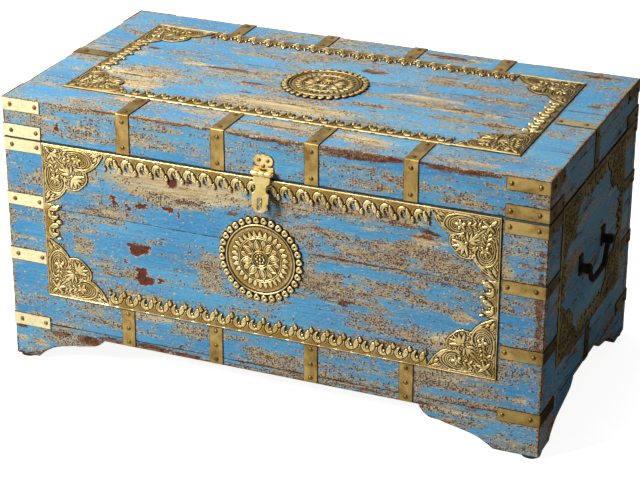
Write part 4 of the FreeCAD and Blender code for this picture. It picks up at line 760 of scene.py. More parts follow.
def wear_of(face, X, Y, Z):
    """How far the paint is rubbed at points of one face: pale undercoat, brown wood, pits, and the flakes' outline."""
    chip = np.full(np.shape(X), 20.0)
    if face == "front":
        x, y = X + 457.5, 462 - Z
        pale = np.maximum(0.16 + 0.12 * smooth(300, 700, x), 1.14 * blobs(x, y, FRONT_PALE))
        brown = np.maximum(0.10 + 0.14 * smooth(380, 620, x), blobs(x, y, FRONT_BROWN))
        pits = np.maximum(0.57 + 0.13 * smooth(380, 520, x) * smooth(66, 90, y), 1.05 * blobs(x, y, FRONT_PITS)) - blobs(x, y, FRONT_CLEAN)
        for pts in CHIPS:
            near = (x > min(p[0] for p in pts) - 12) & (x < max(p[0] for p in pts) + 12)
            near &= (y > min(p[1] for p in pts) - 12) & (y < max(p[1] for p in pts) + 12)
            if near.any():
                chip[near] = np.minimum(chip[near], polygon_sd(x[near] + 4, y[near] + 2, pts))
        gap = edge_gap(X + 456, 456 - X, np.abs(Z - 460.5))
        seam = edge_gap(np.abs(Z - 207) + 2.0, np.abs(Z - 280), np.abs(Z - 70))
        low = smooth(14, 0, Z - 5)
    elif face == "top":
        x, y = X + 457.5, 243.5 - Y
        pale = np.maximum(0.28, 0.92 * blobs(x, y, TOP_PALE))
        brown = np.maximum(0.16, blobs(x, y, TOP_BROWN))
        pits = np.maximum(0.60, 1.04 * blobs(x, y, TOP_PITS)) - blobs(x, y, TOP_CLEAN)
        gap = edge_gap(X + 456, 456 - X, Y + 242, 242 - Y)
        seam = edge_gap(np.abs(Y + 126), np.abs(Y - 52))
        low = np.zeros(np.shape(X))
    elif face in ("left", "right"):
        seed = 51 if face == "right" else 71
        pale = 0.10 + 0.42 * fbm(Y / 90, Z / 22, seed, 3)
        brown = 0.06 + 0.46 * fbm(Y / 70, Z / 15, seed + 9, 3)
        pits = 0.15 + 0.7 * fbm(Y / 60, Z / 40, seed + 5, 2)
        gap = edge_gap(Y + 242, 242 - Y, np.abs(Z - 460.5))
        seam = edge_gap(np.abs(Z - 242), np.abs(Z - 70), np.abs(Z - 440.5))
        low = smooth(14, 0, Z - 5)
    elif face == "back":
        pale = 0.04 + 0.55 * fbm(X / 110, Z / 20, 91, 3)
        brown = 0.02 + 0.55 * fbm(X / 90, Z / 14, 97, 3)
        pits = 0.2 + 0.7 * fbm(X / 80, Z / 40, 95, 2)
        gap = edge_gap(X + 456, 456 - X, np.abs(Z - 460.5))
        seam = edge_gap(np.abs(Z - 178), np.abs(Z - 290), np.abs(Z - 70), np.abs(Z - 440.5))
        low = smooth(14, 0, Z - 5)
    else:
        pale = 0.3 + 0.3 * fbm(X / 60, Y / 60, 61, 2)
        brown = 0.45 + 0.3 * fbm(X / 50, Y / 50, 65, 2)
        pits = np.full(np.shape(X), 0.3)
        gap, seam, low = np.full(np.shape(X), 50.0), np.full(np.shape(X), 50.0), np.zeros(np.shape(X))
    ragged = 0.35 + 1.1 * fbm(X / 23 + Y / 29, Z / 23 + Y / 31, 77, 3)
    brown = np.maximum(brown, 0.78 * ragged * np.exp(-gap / 3.2))
    brown = np.maximum(brown, 0.66 * ragged * np.exp(-seam / 1.8))
    pits = np.maximum(pits, 0.35 + 0.6 * np.exp(-gap / 11.0))
    brown = np.maximum(brown, 0.5 * ragged * low)
    pale = np.maximum(pale, 0.5 * ragged * np.exp(-gap / 7.0))
    if face == "front":
        warm = 0.3 + 0.6 * smooth(360, 560, X + 457.5)
    elif face == "top":
        warm = 0.5 + 0.3 * smooth(200, 700, X + 457.5)
    else:
        warm = np.full(np.shape(X), 0.8)
    return pale, brown, pits, chip, warm


PLATES = {"front": [], "back": [], "left": [], "right": [], "top": []}
for node in ("front_corner_straps", "back_corner_straps", "lid_corner_straps", "lid_front_straps", "lid_back_straps", "lid_side_straps",
             "case_front_straps", "case_back_straps", "case_side_straps", "hinge_case_leaves", "hinge_lid_leaves", "handle_lugs"):
    for lo, hi in islands(node):
        for face, on, (i, j) in (("front", lo[1] < -242.5, (0, 2)), ("back", hi[1] > 242.5, (0, 2)), ("left", lo[0] < -456.5, (1, 2)),
                                 ("right", hi[0] > 456.5, (1, 2)), ("top", hi[2] > 461.0, (0, 1))):
            if on:
                PLATES[face].append((lo[i], hi[i], lo[j], hi[j]))
# outlines of the hasp and its staple, so that the painted shadow and dirt run round them as well
PLATES["front"] += [(-5, 7, 340.2, 364), (-15.5, 17.5, 403, 412.6), (-6, 8, 408, 422)]
SHEETS = {"front": ("front_brass_frame", 0, 2), "right": ("right_brass_frame", 1, 2), "left": ("left_brass_frame", 1, 2), "top": ("lid_brass_frame", 0, 1)}
DISCS = {"front": ("front_medallion", 0, 2), "top": ("lid_medallion", 0, 1)}
# joints that hold dirt, by the height or depth they run at; along the lid's joint at 393.6 the band is also painted
# shadow of the gap
JOINTS = {
    "front": ((70, .95), (207, .55), (280, .8), (393.6, 1.0)), "back": ((70, .9), (178, .7), (290, .7), (393.6, 1.0)),
    "left": ((70, .9), (242, .8), (393.6, 1.0)), "right": ((70, .9), (242, .8), (393.6, 1.0)), "top": ((-126, .7), (52, .7))}


def brass_gap(face, X, Y, Z):
    """How far points of one face are from the outlines of the brass on it, negative under the brass."""
    if face not in PLATES:
        return np.full(np.shape(X), 50.0)
    pts = (X, Y, Z)
    u, v = {"front": (X, Z), "back": (X, Z), "left": (Y, Z), "right": (Y, Z), "top": (X, Y)}[face]
    gap = np.full(np.shape(X), 50.0)
    for a0, a1, b0, b1 in PLATES[face]:
        gap = np.minimum(gap, np.hypot(np.maximum(np.maximum(a0 - u, u - a1), 0), np.maximum(np.maximum(b0 - v, v - b1), 0)))
    if face == "front":
        # round lobes of the hasp's plate, with painted shadow round them too
        for cx, cz, r in ((-6.2, 422.5, 9), (8.2, 422.5, 9), (1, 425.5, 7.5)):
            gap = np.minimum(gap, np.hypot(X - cx, Z - cz) - r)
    if face in SHEETS:
        node, i, j = SHEETS[face]
        lo, hi = box_mm(node)
        w, h = hi[i] - lo[i], hi[j] - lo[j]
        q0, q1 = pts[i] - lo[i], pts[j] - lo[j]
        out = np.hypot(np.maximum(np.maximum(-q0, q0 - w), 0), np.maximum(np.maximum(-q1, q1 - h), 0))
        inside = out <= 0
        if inside.any():
            out[inside] = frame_field(w, h, q0[inside], q1[inside])[0]
        gap = np.minimum(gap, out)
    if face in DISCS:
        node, i, j = DISCS[face]
        lo, hi = box_mm(node)
        q0, q1 = pts[i] - (lo[i] + hi[i]) / 2, pts[j] - (lo[j] + hi[j]) / 2
        gap = np.minimum(gap, np.minimum(np.hypot(q0, q1) - 60.2, bead_gap(q0, q1) - 6.3))
    return gap


def grime_and_shade_of(face, X, Y, Z):
    """Dirt and painted shade: thick along the brass, where it also stands for the shadow the brass throws on the wood,
    and in the joints.
    """
    gap = brass_gap(face, X, Y, Z)
    dirt_and_shade = 1.0 * np.exp(-np.maximum(gap, 0) / 1.5)
    for at, k in JOINTS.get(face, ()):
        off = np.abs((Y if face == "top" else Z) - at)
        # the lid's joint gets a wider band: painted shadow in the gap between lid and case, as well as dirt
        dirt_and_shade = np.maximum(dirt_and_shade, k * np.exp(-np.maximum(off - (1.6 if at == 393.6 else 0.0), 0) / 1.1))
    if face == "top":
        dirt_and_shade, gap = np.where(Z < 430, 0.1, dirt_and_shade), np.where(Z < 430, 50.0, gap)
    return dirt_and_shade, gap


WALLS = {
    "front": ("left", "right", "bottom", "top"), "back": ("left", "right", "bottom", "top"),
    "left": ("front", "back", "bottom", "top"), "right": ("front", "back", "bottom", "top"),
    "top": ("left", "right", "front", "back")}


def wooden(node, face, seed, step=2.0, profile=None):
    """A worn board in place of the plain one: same size, eased and rubbed edges, uneven face."""
    lo, hi = box_mm(node)
    if face in ("front", "back"):
        ia, ib, idp = 0, 2, 1
    elif face in ("left", "right"):
        ia, ib, idp = 1, 2, 0
    else:
        ia, ib, idp = 0, 1, 2
    thick = hi[idp] - lo[idp]
    inward = 1.0 if face in ("front", "left") else -1.0
    outer = lo[idp] if inward > 0 else hi[idp]
    r = 1.1

    def place(a, b, d):
        out = np.empty((len(a), 3))
        out[:, ia], out[:, ib], out[:, idp] = a, b, outer + inward * d
        return out

    a = lines(lo[ia], hi[ia], step, r)
    if profile is not None:
        xs, zs = profile
        a = np.unique(np.round(np.concatenate([a, xs[(xs > lo[ia] + 4) & (xs < hi[ia] - 4)]]), 3))
        a = a[np.concatenate([[True], np.diff(a) > 0.12])]
        b0 = np.interp(a, xs, zs)
    else:
        b0 = np.full(len(a), lo[ib])
    b1 = np.full(len(a), hi[ib])

    low_joint = lo[ib] > (75 if face != "top" else -200) and not (face != "top" and lo[ib] > 393.5 and lo[ib] < 395)
    high_joint = hi[ib] < 392 or 439 < hi[ib] < 441 if face != "top" else hi[ib] < 200

    def worn(A, B):
        eased = 0.75 + 1.9 * smooth(0.42, 0.8, fbm(A / 26 + seed, B / 26, 300 + seed, 3)) + 0.4 * fbm(A / 6, B / 6, 320 + seed, 2)
        tight = 0.22 + 0.5 * smooth(0.5, 0.8, fbm(A / 40, B / 40, 330 + seed, 2))
        joint = np.where(B - lo[ib] < hi[ib] - B, low_joint, high_joint)
        end = np.minimum(A - lo[ia], hi[ia] - A) < np.minimum(B - lo[ib], hi[ib] - B)
        return np.where(joint & ~end, tight, eased)

    def relief(A, B):
        wave = 0.22 * (fbm(A / 70, B / 24, 340 + seed, 3) - 0.35)
        grain = 0.20 * smooth(0.42, 0.75, fbm(A / 26, B / 2.6, 360 + seed, 3))
        dents = 0.38 * smooth(0.66, 0.8, fbm(A / 9, B / 5, 380 + seed, 3))
        p = place(A.ravel(), B.ravel(), np.zeros(A.size))
        pale, brown, pits, chip, _ = wear_of(face, p[:, 0], p[:, 1], p[:, 2])
        hollow = 0.22 * smooth(0.35, 0.75, pale) + 0.3 * smooth(0.35, 0.8, brown) + 0.38 * smooth(0.6, -0.8, chip)
        return np.maximum(0.0, wave + grain + dents) + hollow.reshape(A.shape)

    s = slab(a, b0, b1, step, thick, r, place, face in ("back", "left"), worn, relief,
             chamfer=0.15 if face == "top" else 0.8 if profile is None else 0.1, back="ngon" if profile is None else "grid")
    co = s["co"]
    n = len(co)
    pale, brown, pits, chip, warm = wear_of(face, co[:, 0], co[:, 1], co[:, 2])
    names = WALLS[face]
    for key, sign, wall in (("side_a", -1, names[0]), ("side_a", 1, names[1]), ("side_b", -1, names[2]), ("side_b", 1, names[3])):
        on = s[key] == sign
        if on.any():
            got = wear_of(wall, co[on, 0], co[on, 1], co[on, 2])
            for arr, val in zip((pale, brown, pits, chip, warm), got):
                arr[on] = val
    if profile is not None:
        # the sawn edge is rubbed to the wood
        rise = np.maximum(co[:, ib] - np.interp(co[:, ia], xs, zs), 0)
        brown = np.maximum(brown, (0.3 + 0.9 * fbm(co[:, ia] / 20, co[:, ib] / 30, 410 + seed, 3)) * np.exp(-rise / 3.5))
        pits = np.maximum(pits, 0.35 + 0.55 * np.exp(-rise / 9.0))
    # dirt and painted shade along the brass and in the joints
    grime_and_shade, gap = grime_and_shade_of(face, co[:, 0], co[:, 1], co[:, 2])
    for key, sign, wall in (("side_a", -1, names[0]), ("side_a", 1, names[1]), ("side_b", -1, names[2]), ("side_b", 1, names[3])):
        on = s[key] == sign
        if on.any():
            grime_and_shade[on], gap[on] = grime_and_shade_of(wall, co[on, 0], co[on, 1], co[on, 2])
    pits = np.maximum(pits, 0.30 + 0.42 * np.exp(-np.maximum(gap, 0) / 8.0))
    paint = np.ones(n)
    paint[s["inner"]] = 0.0
    paint[(s["d"] > thick - 1.2)] = 1.0 if face == "top" else 0.0
    paint[s["inner"]] = 0.0
    g = np.concatenate([s["g"] * MM + np.array([[seed * 1.37, seed * 0.73]]), np.full((n, 1), seed * 0.11)], 1)
    wear = np.stack([pale, brown, pits, warm], 1)
    o = new_object(node + "_worn", co, s["faces"], {"g": g, "wear": wear, "paint": paint, "chip": chip, "grime_and_shade": grime_and_shade}, PAINT)
    return stands_for(o, node)


def plinth_profile(node, ia):
    """The sawn lower edge of a plinth, read from its own outline."""
    p = node_points(node)
    top = p[:, 2].max()
    p = p[p[:, 2] < top - 1.0]
    key = np.unique(np.round(p[:, [ia, 2]], 3), axis=0)
    xs, zs = key[:, 0], key[:, 1]
    mid = (xs.min() + xs.max()) / 2
    # on a steep step the foot's side comes first, going in from either end
    order = np.lexsort((np.where(xs < mid, zs, -zs), xs))
    xs, zs = xs[order], zs[order]
    xs = xs + np.arange(len(xs)) * 1e-5
    return xs, zs


# ------------------------------------------------------------------ brass straps

NAIL_HEADS = []
for node in ("case_nails", "lid_nails"):
    for lo, hi in islands(node):
        c, out = (lo + hi) / 2, None
        # the head is at the outer end
        gaps = {(0, 1): hi[0] - 457.5, (0, -1): -457.5 - lo[0], (1, 1): hi[1] - 243.5, (1, -1): -243.5 - lo[1], (2, 1): hi[2] - 462.0}
        (axis, sign) = max(gaps, key=gaps.get)
        c[axis] = {(0, 1): 457.5, (0, -1): -457.5, (1, 1): 243.5, (1, -1): -243.5, (2, 1): 462.0}[(axis, sign)]
        NAIL_HEADS.append(c)
NAIL_HEADS = np.array(NAIL_HEADS)


def strap_finish(s, thick, seed):
    co = s["co"]
    d = np.sqrt(((co[:, None, :] - NAIL_HEADS[None]) ** 2).sum(2)).min(1)
    rim = np.minimum.reduce([s["a"] - s["a"].min(), s["a"].max() - s["a"], s["b"] - s["b"].min(), s["b"].max() - s["b"]])
    # dark round the nail heads and along the strap's edges, and on its hidden back: dirt and painted shade
    grime_and_shade = np.maximum(0.95 * np.exp(-np.maximum(d - 3.4, 0) / 1.0), 0.85 * np.exp(-rim / 1.2))
    grime_and_shade = np.where(s["d"] > 0.8, 0.8, grime_and_shade)
    g = np.concatenate([s["g"] * MM + np.array([[seed * 0.917, seed * 0.531]]), np.full((len(co), 1), seed * 0.13)], 1)
    return {"g": g, "grime_and_shade": grime_and_shade}


def strap(corner, e1, l1, e2, l2, e3, width, thick, seed):
    """A strip of sheet brass folded round an edge. corner is on the outer faces, the legs run along e1 and e2."""
    corner, e1, e2, e3 = (np.asarray(v, float) for v in (corner, e1, e2, e3))
    ro = 2.1
    total = (l1 - ro) + ro * math.pi / 2 + (l2 - ro)
    mid = corner + ro * e1 + ro * e2

    def place(a, b, d):
        out = np.empty((len(a), 3))
        s1, s2 = l1 - ro, l1 - ro + ro * math.pi / 2
        f1, f2 = a <= s1, a >= s2
        fm = ~(f1 | f2)
        out[f1] = corner + np.outer(l1 - a[f1], e1) + np.outer(d[f1], e2)
        out[f2] = corner + np.outer(ro + a[f2] - s2, e2) + np.outer(d[f2], e1)
        th = (a[fm] - s1) / ro
        out[fm] = mid - np.outer((ro - d[fm]) * np.cos(th), e2) - np.outer((ro - d[fm]) * np.sin(th), e1)
        return out + np.outer(b, e3)

    a = np.unique(np.concatenate([lines(0, total, 2.4, 0.5), l1 - ro + np.linspace(0, ro * math.pi / 2, 7)]))
    flip = np.dot(np.cross(-e1, e3), -e2) < 0
    return bent(a, total, width, thick, place, flip, seed)


def flat_strap(centre, along, length, across, width, outward, thick, seed):
    centre, along, across, outward = (np.asarray(v, float) for v in (centre, along, across, outward))

    def place(a, b, d):
        return centre + np.outer(a - length / 2, along) + np.outer(b, across) + np.outer(thick - d, outward)

    flip = np.dot(np.cross(along, across), outward) < 0
    return bent(lines(0, length, 2.4, 0.5), length, width, thick, place, flip, seed)


def bent(a, total, width, thick, place, flip, seed):
    half = np.full(len(a), width / 2)

    def relief(A, B):
        w = 0.16 * (fbm(A / 14, B / 11, 400 + seed, 2)) + 0.10 * fbm(A / 4, B / 4, 430 + seed, 2)
        p = place(A.ravel(), B.ravel(), np.zeros(A.size))
        d = np.sqrt(((p[:, None, :] - NAIL_HEADS[None]) ** 2).sum(2)).min(1).reshape(A.shape)
        return w + 0.32 * np.exp(-((d / 5.5) ** 2))

    s = slab(a, -half, half, 2.2, thick, 0.5, place, flip, None, relief, walls=1, chamfer=0.15, back="grid")
    s["finish"] = strap_finish(s, thick, seed)
    return s


def joined(name, parts, material, sharp=40.0):
    co, faces, base = [], [], 0
    keys = parts[0]["finish"].keys()
    for p in parts:
        co.append(p["co"])
        for f in p["faces"]:
            faces.append(f + base if isinstance(f, np.ndarray) else [i + base for i in f])
        base += len(p["co"])
    attrs = {k: np.concatenate([p["finish"][k] for p in parts]) for k in keys}
    return new_object(name, np.concatenate(co), faces, attrs, material, sharp)


seed = 1
for node in ("front_corner_straps", "back_corner_straps", "lid_corner_straps"):
    parts = []
    for lo, hi in islands(node):
        sx = 1.0 if hi[0] > 0 else -1.0
        sy = 1.0 if hi[1] > 0 else -1.0
        corner = np.array([sx * 457.5, sy * 243.5, (lo[2] + hi[2]) / 2])
        parts.append(strap(corner, (-sx, 0, 0), hi[0] - lo[0], (0, -sy, 0), hi[1] - lo[1], (0, 0, 1), hi[2] - lo[2], 1.5, seed))
        seed += 1
    stands_for(joined(node + "_worn", parts, BRASS), node)
for node, sy in (("lid_front_straps", -1.0), ("lid_back_straps", 1.0)):
    parts = []
    for lo, hi in islands(node):
        corner = np.array([(lo[0] + hi[0]) / 2, sy * 243.5, hi[2]])
        parts.append(strap(corner, (0, 0, -1), hi[2] - lo[2], (0, -sy, 0), hi[1] - lo[1], (1, 0, 0), hi[0] - lo[0], 1.5, seed))
        seed += 1
    stands_for(joined(node + "_worn", parts, BRASS), node)
parts = []
for lo, hi in islands("lid_side_straps"):
    sx = 1.0 if hi[0] > 0 else -1.0
    corner = np.array([sx * 457.5, (lo[1] + hi[1]) / 2, hi[2]])
    parts.append(strap(corner, (0, 0, -1), hi[2] - lo[2], (-sx, 0, 0), hi[0] - lo[0], (0, 1, 0), hi[1] - lo[1], 1.5, seed))
    seed += 1
stands_for(joined("lid_side_straps_worn", parts, BRASS), "lid_side_straps")
for node, axis in (("case_front_straps", 1), ("case_back_straps", 1), ("case_side_straps", 0)):
    parts = []
    for lo, hi in islands(node):
        c = (lo + hi) / 2
        out = np.zeros(3)
        out[axis] = 1.0 if c[axis] > 0 else -1.0
        c[axis] = {1: 242.0, 0: 456.0}[axis] * out[axis]
        across = np.array([1.0, 0, 0]) if axis == 1 else np.array([0, 1.0, 0])
        width = hi[0] - lo[0] if axis == 1 else hi[1] - lo[1]
        parts.append(flat_strap(c, (0, 0, 1), hi[2] - lo[2], across, width, out, 1.5, seed))
        seed += 1
    stands_for(joined(node + "_worn", parts, BRASS), node)

# ------------------------------------------------------------------ embossed brass


def leaf(x, y, p0, p1, w, full=0.8, fat=0.85):
    """A pointed leaf from p0 to p1: rounded height (0 to 1), outline distance, and distance from its midrib."""
    (x0, y0), (x1, y1) = p0, p1
    L = math.hypot(x1 - x0, y1 - y0)
    ux, uy = (x1 - x0) / L, (y1 - y0) / L
    t = ((x - x0) * ux + (y - y0) * uy) / L
    n = np.abs((y - y0) * ux - (x - x0) * uy)
    tc = np.clip(t, 0, 1)
    half = w * np.clip(np.sin(np.pi * tc**full), 0, 1) ** fat
    inside = (t > 0) & (t < 1)
    high = np.where(inside & (half > 1e-3), np.sqrt(np.clip(1 - (n / np.maximum(half, 1e-3)) ** 2, 0, 1)), 0)
    sd = np.where(t < 0, np.hypot(x - x0, y - y0), np.where(t > 1, np.hypot(x - x1, y - y1), n - half))
    return high, sd, n


def round_ridge(d, hw):
    return np.sqrt(np.clip(1 - (d / hw) ** 2, 0, 1))


PITCH = 26.9


HOOK = curve([(4.2, 11.2), (0.8, 9.8), (-3.6, 10.3), (-6.8, 13.2), (-7.6, 17.4), (-6.3, 21.6), (-3.4, 24.8)], 5)


def chain(s, t):
    """The fretted border: a crescent hung from the rim, a leaf beside it, and a bud between the leaf and the next crescent.
    s runs along the strip from the middle of a crescent's head, t in from the strip's outer edge."""
    d, along = line_d(s, t, HOOK)
    hw = 1.7 + 2.3 * np.sin(np.pi * np.clip(along, 0, 1)) ** 1.3
    sd = np.minimum(d - hw, np.maximum(np.abs(s) - 2.8, t - 10))
    cut = np.exp(-((d / 0.7) ** 2)) * smooth(0.40, 0.50, along) * smooth(0.88, 0.78, along)
    high = 2.5 * round_ridge(d, hw) ** 0.8 - 1.2 * cut
    # the curl under the crescent's head
    kd = np.hypot(s + 1.2, t - 15.0)
    high, sd = np.maximum(high, 1.9 * round_ridge(kd, 2.0)), np.minimum(sd, kd - 2.0)
    lh, ls, ln = leaf(s, t, (4.6, 9.2), (9.2, 26.6), 4.5, 1.1, 0.5)
    slit = np.exp(-((ln / 0.7) ** 2) - ((t - 19.0) / 2.4) ** 2)
    high = np.where((ls < 0.6) & (ls > -0.4) & (d < hw), 0.2, np.maximum(high, 2.6 * lh**0.8 - 1.3 * slit))
    sd = np.minimum(sd, ls - 0.15)
    bh, bs, bn = leaf(np.abs(s), t, (13.45, 20.8), (13.45, 31.8), 3.5, 1.0, 0.5)
    dot = np.exp(-((bn / 0.7) ** 2) - ((t - 26.0) / 1.5) ** 2)
    high = np.where((ls < 0.5) & (bs < 0.5) & (ls > -0.5), 0.1, np.maximum(high, 2.4 * bh**0.8 - 1.4 * dot))
    sd = np.minimum(sd, bs - 0.15)
    # the sheet that the crescents stand on
    ground = 1.2 * smooth(0.2, 1.4, sd) * smooth(19.4, 18.0, t)
    high = np.where(sd > 0, np.maximum(high, ground), high)
    return np.minimum(sd, t - 18.8), high


def rim(t, s):
    high = 1.5 * round_ridge(t - 1.5, 1.5)
    high = np.maximum(high, 1.1 * smooth(3.0, 4.2, t))
    return t - 8.2, high


def corner_tile(U, V):
    """A corner plate: flower at the corner, two scrolls round flowers, a spray and a palmette, lobed inner edge."""
    half = [(113, 4), (109, 13), (103.8, 22), (98.8, 29), (93, 34.8), (87, 39.5), (80.5, 43), (82, 48), (82.8, 54), (81.5, 61), (78, 67)]
    pts = [(0, 0), (113, 0)] + half + [(72.5, 72.5)] + [(v, u) for u, v in half[::-1]] + [(0, 113)]
    sd = polygon_sd(U, V, pts)
    inner_edge = np.minimum(*[line_d(U, V, q)[0] for q in (half + [(72.5, 72.5)], [(v, u) for u, v in half] + [(72.5, 72.5)])])
    high = np.zeros(U.shape)
    near = inner_edge - 3.4
    lines_ = [
        ([(40, 8.5), (50, 6.4), (62, 5.2), (74, 6.8), (84, 11.5), (89.6, 19), (90, 27.5), (84.5, 35), (75.5, 39.6), (66, 40.2), (58.5, 36.6)], 1.55, 1.5),
        ([(47, 11.6), (58, 9.6), (69, 10.6), (78, 15.4), (82, 23), (79.4, 31), (72.4, 35.2), (65, 34.8)], 1.15, 1.15),
        ([(60, 24.5), (51, 22.4), (42, 21), (33, 20.4), (24, 18.6)], 0.95, 1.0),
        ([(52, 52), (46, 45), (38, 37), (29, 28), (22, 22)], 1.1, 1.0),
        ([(93, 8), (99, 14), (98, 21), (92, 28)], 1.0, 0.9),
        ([(58, 41), (62, 46), (60, 51), (54, 54)], 1.2, 1.1),
        ([(105, 6), (100, 9), (95, 9.5)], 0.9, 0.9),
    ]
    for pts_, hw, h in lines_:
        c = curve(pts_, 6)
        for q in (c, c[:, ::-1]):
            d, _ = line_d(U, V, q)
            near = np.minimum(near, d - hw)
            high = np.maximum(high, h * round_ridge(d, hw))
    leaves = []
    fb = (63.5, 23.8)
    for k in range(5):
        a = math.radians(-81 + 72 * k)
        leaves.append(((fb[0] + 1.6 * math.cos(a), fb[1] + 1.6 * math.sin(a)), (fb[0] + 10.2 * math.cos(a), fb[1] + 10.2 * math.sin(a)), 3.0, 2.0))
    leaves += [((53.5, 23), (46.5, 15.2), 2.3, 1.6), ((45, 22), (38, 14.4), 2.3, 1.6), ((36.5, 20.6), (31, 13.6), 2.0, 1.5),
               ((52, 24), (45, 29.4), 2.2, 1.6), ((43.5, 22.5), (37, 28), 2.2, 1.6), ((34.5, 21.5), (29.5, 26.5), 1.8, 1.4),
               ((103.5, 5.5), (92, 13.5), 2.2, 1.5), ((101, 13), (92.5, 21), 2.3, 1.5), ((95, 24), (88, 34), 2.4, 1.5),
               ((106, 9), (100.5, 20), 1.6, 1.2), ((58.5, 40), (68, 45), 2.0, 1.4), ((71, 42), (80, 45.5), 1.8, 1.3),
               ((49, 51), (44.5, 31.5), 2.4, 1.5), ((52, 50), (53.5, 33), 2.2, 1.4), ((47, 49), (36.5, 32.5), 2.1, 1.5),
               ((56, 55.5), (78.5, 51.5), 3.0, 1.8), ((57, 57), (77, 62.5), 3.1, 1.9), ((72, 46), (79, 50), 1.6, 1.2),
               ((16, 38), (9, 46), 2.0, 1.4), ((7, 62), (5.2, 74), 1.5, 1.1), ((12, 88), (5, 99), 2.0, 1.3)]
    for p0, p1, w, h in leaves:
        for q0, q1 in ((p0, p1), (p0[::-1], p1[::-1])):
            lh, ls, ln = leaf(U, V, q0, q1, w)
            near = np.minimum(near, ls)
            high = np.maximum(high, 1.3 * h * lh - 0.6 * np.exp(-((ln / 0.55) ** 2)) * (lh > 0.55))
    for p0, p1, w, h in [((17, 17), (6.8, 6.8), 3.4, 2.1), ((17.5, 19), (10, 30), 3.0, 2.0), ((19, 17.5), (30, 10), 3.0, 2.0),
                         ((19.5, 18.5), (32, 22.6), 2.8, 1.9), ((18.5, 19.5), (22.6, 32), 2.8, 1.9), ((58, 58), (71, 71), 3.3, 2.0),
                         ((50, 50), (33.5, 33.5), 2.4, 1.6)]:
        lh, ls, ln = leaf(U, V, p0, p1, w)
        near = np.minimum(near, ls)
        high = np.maximum(high, 1.3 * h * lh - 0.6 * np.exp(-((ln / 0.55) ** 2)) * (lh > 0.55))
    for (cu, cv), r, h in [((18, 18), 2.6, 2.4), ((54, 54), 3.0, 2.3), (fb, 2.2, 2.3), (fb[::-1], 2.2, 2.3), ((59, 36.4), 1.9, 1.8), ((36.4, 59), 1.9, 1.8),
                           ((101, 4.4), 1.6, 1.6), ((4.4, 101), 1.6, 1.6), ((4.8, 4.8), 1.5, 1.5)]:
        high = np.maximum(high, h * round_ridge(np.hypot(U - cu, V - cv), r))
    high = np.maximum(high, 1.15 * round_ridge(inner_edge - 1.9, 1.3))
    ground = np.where(near > 0.5, 0.52 - 0.52 * np.cos(2 * np.pi * (near - 0.5) / 3.1), 0) + 0.12 * fbm(U / 1.9, V / 1.9, 501, 2)
    return sd, np.maximum(high, ground)


def blurred(h, n, times=2):
    for _ in range(times):
        for axis in (0, 1):
            k = np.cumsum(np.pad(h, [(n + 1, n) if i == axis else (0, 0) for i in (0, 1)], mode="edge"), axis=axis)
            h = (np.take(k, np.arange(2 * n + 1, k.shape[axis]), axis) - np.take(k, np.arange(0, k.shape[axis] - 2 * n - 1), axis)) / (2 * n + 1)
    return h


def sheet_mesh(name, P, Q, sd, high, base, place, flip, seed, extra=None, blur=3, tone=0.44):
    """Turns outline distance and height on a lattice into a sheet: cells inside are kept, and the edge is drawn onto the outline."""
    keep = (sd[:-1, :-1] + sd[1:, :-1] + sd[1:, 1:] + sd[:-1, 1:]) < 0
    used = np.zeros(sd.shape, int)
    for di in (0, 1):
        for dj in (0, 1):
            used[di:used.shape[0] - 1 + di, dj:used.shape[1] - 1 + dj] += keep
    dp, dq = P[1] - P[0], Q[1] - Q[0]
    gp, gq = np.gradient(sd, dp, dq)
    edge = (used > 0) & (used < 4)
    # the lattice's own border is an outline too, and stays straight
    border = np.zeros(sd.shape, bool)
    border[0], border[-1], border[:, 0], border[:, -1] = True, True, True, True
    PP, QQ = np.meshgrid(P, Q, indexing="ij")
    k = np.where(edge & ~border, np.clip(sd, -0.95, 0.95) / np.maximum(gp**2 + gq**2, 0.25), 0)
    PP, QQ = PP - k * gp, QQ - k * gq
    rise = smooth(0.0, 1.0, np.where(edge, 0.0, -sd))
    # how dark the brass is coloured: patina and painted shade in the hollows, at the outline and on the skirt down to
    # the wood
    cav = tone + 0.62 * (blurred(high, max(1, blur // 2)) - high) + 0.34 * (blurred(high, 2 * blur) - high)
    cav = np.clip(cav + 0.34 * np.exp(np.minimum(sd, 0) / 0.7), 0, 1)
    top = 0.45 + (base - 0.45 + high) * np.maximum(rise, np.where(border & ~edge, 0, 0))
    idx = np.full(sd.shape, -1)
    idx[used > 0] = np.arange((used > 0).sum())
    i, j = np.nonzero(keep)
    quads = np.stack([idx[i, j], idx[i + 1, j], idx[i + 1, j + 1], idx[i, j + 1]], 1)
    sel = used > 0
    pp, qq, hh = PP[sel], QQ[sel], top[sel]
    n = len(pp)
    # a skirt from the edge down to the wood
    pairs = np.concatenate([quads[:, [0, 1]], quads[:, [1, 2]], quads[:, [2, 3]], quads[:, [3, 0]]])
    key = np.sort(pairs, 1)
    code = key[:, 0] * np.int64(n) + key[:, 1]
    _, first, count = np.unique(code, return_index=True, return_counts=True)
    rimE = pairs[first[count == 1]]
    rv = np.unique(rimE)
    low = np.full(n, -1)
    low[rv] = n + np.arange(len(rv))
    skirt = np.stack([rimE[:, 1], rimE[:, 0], low[rimE[:, 0]], low[rimE[:, 1]]], 1)
    pp, qq = np.concatenate([pp, pp[rv]]), np.concatenate([qq, qq[rv]])
    hh = np.concatenate([hh, np.full(len(rv), -0.3)])
    hv = np.concatenate([high[sel], np.zeros(len(rv))])
    cv = np.concatenate([cav[sel], np.ones(len(rv))])
    faces = [f[:, ::-1] if flip else f for f in (quads, skirt)]
    g = np.stack([pp * MM + seed * 0.77, qq * MM + seed * 0.39, np.full(len(pp), seed * 0.1)], 1)
    attrs = {"g": g, "high": np.clip(hv / 2.0, 0, 1), "cav": cv}
    return new_object(name, place(pp, qq, hh), faces, attrs, EMBOSS, 75.0)


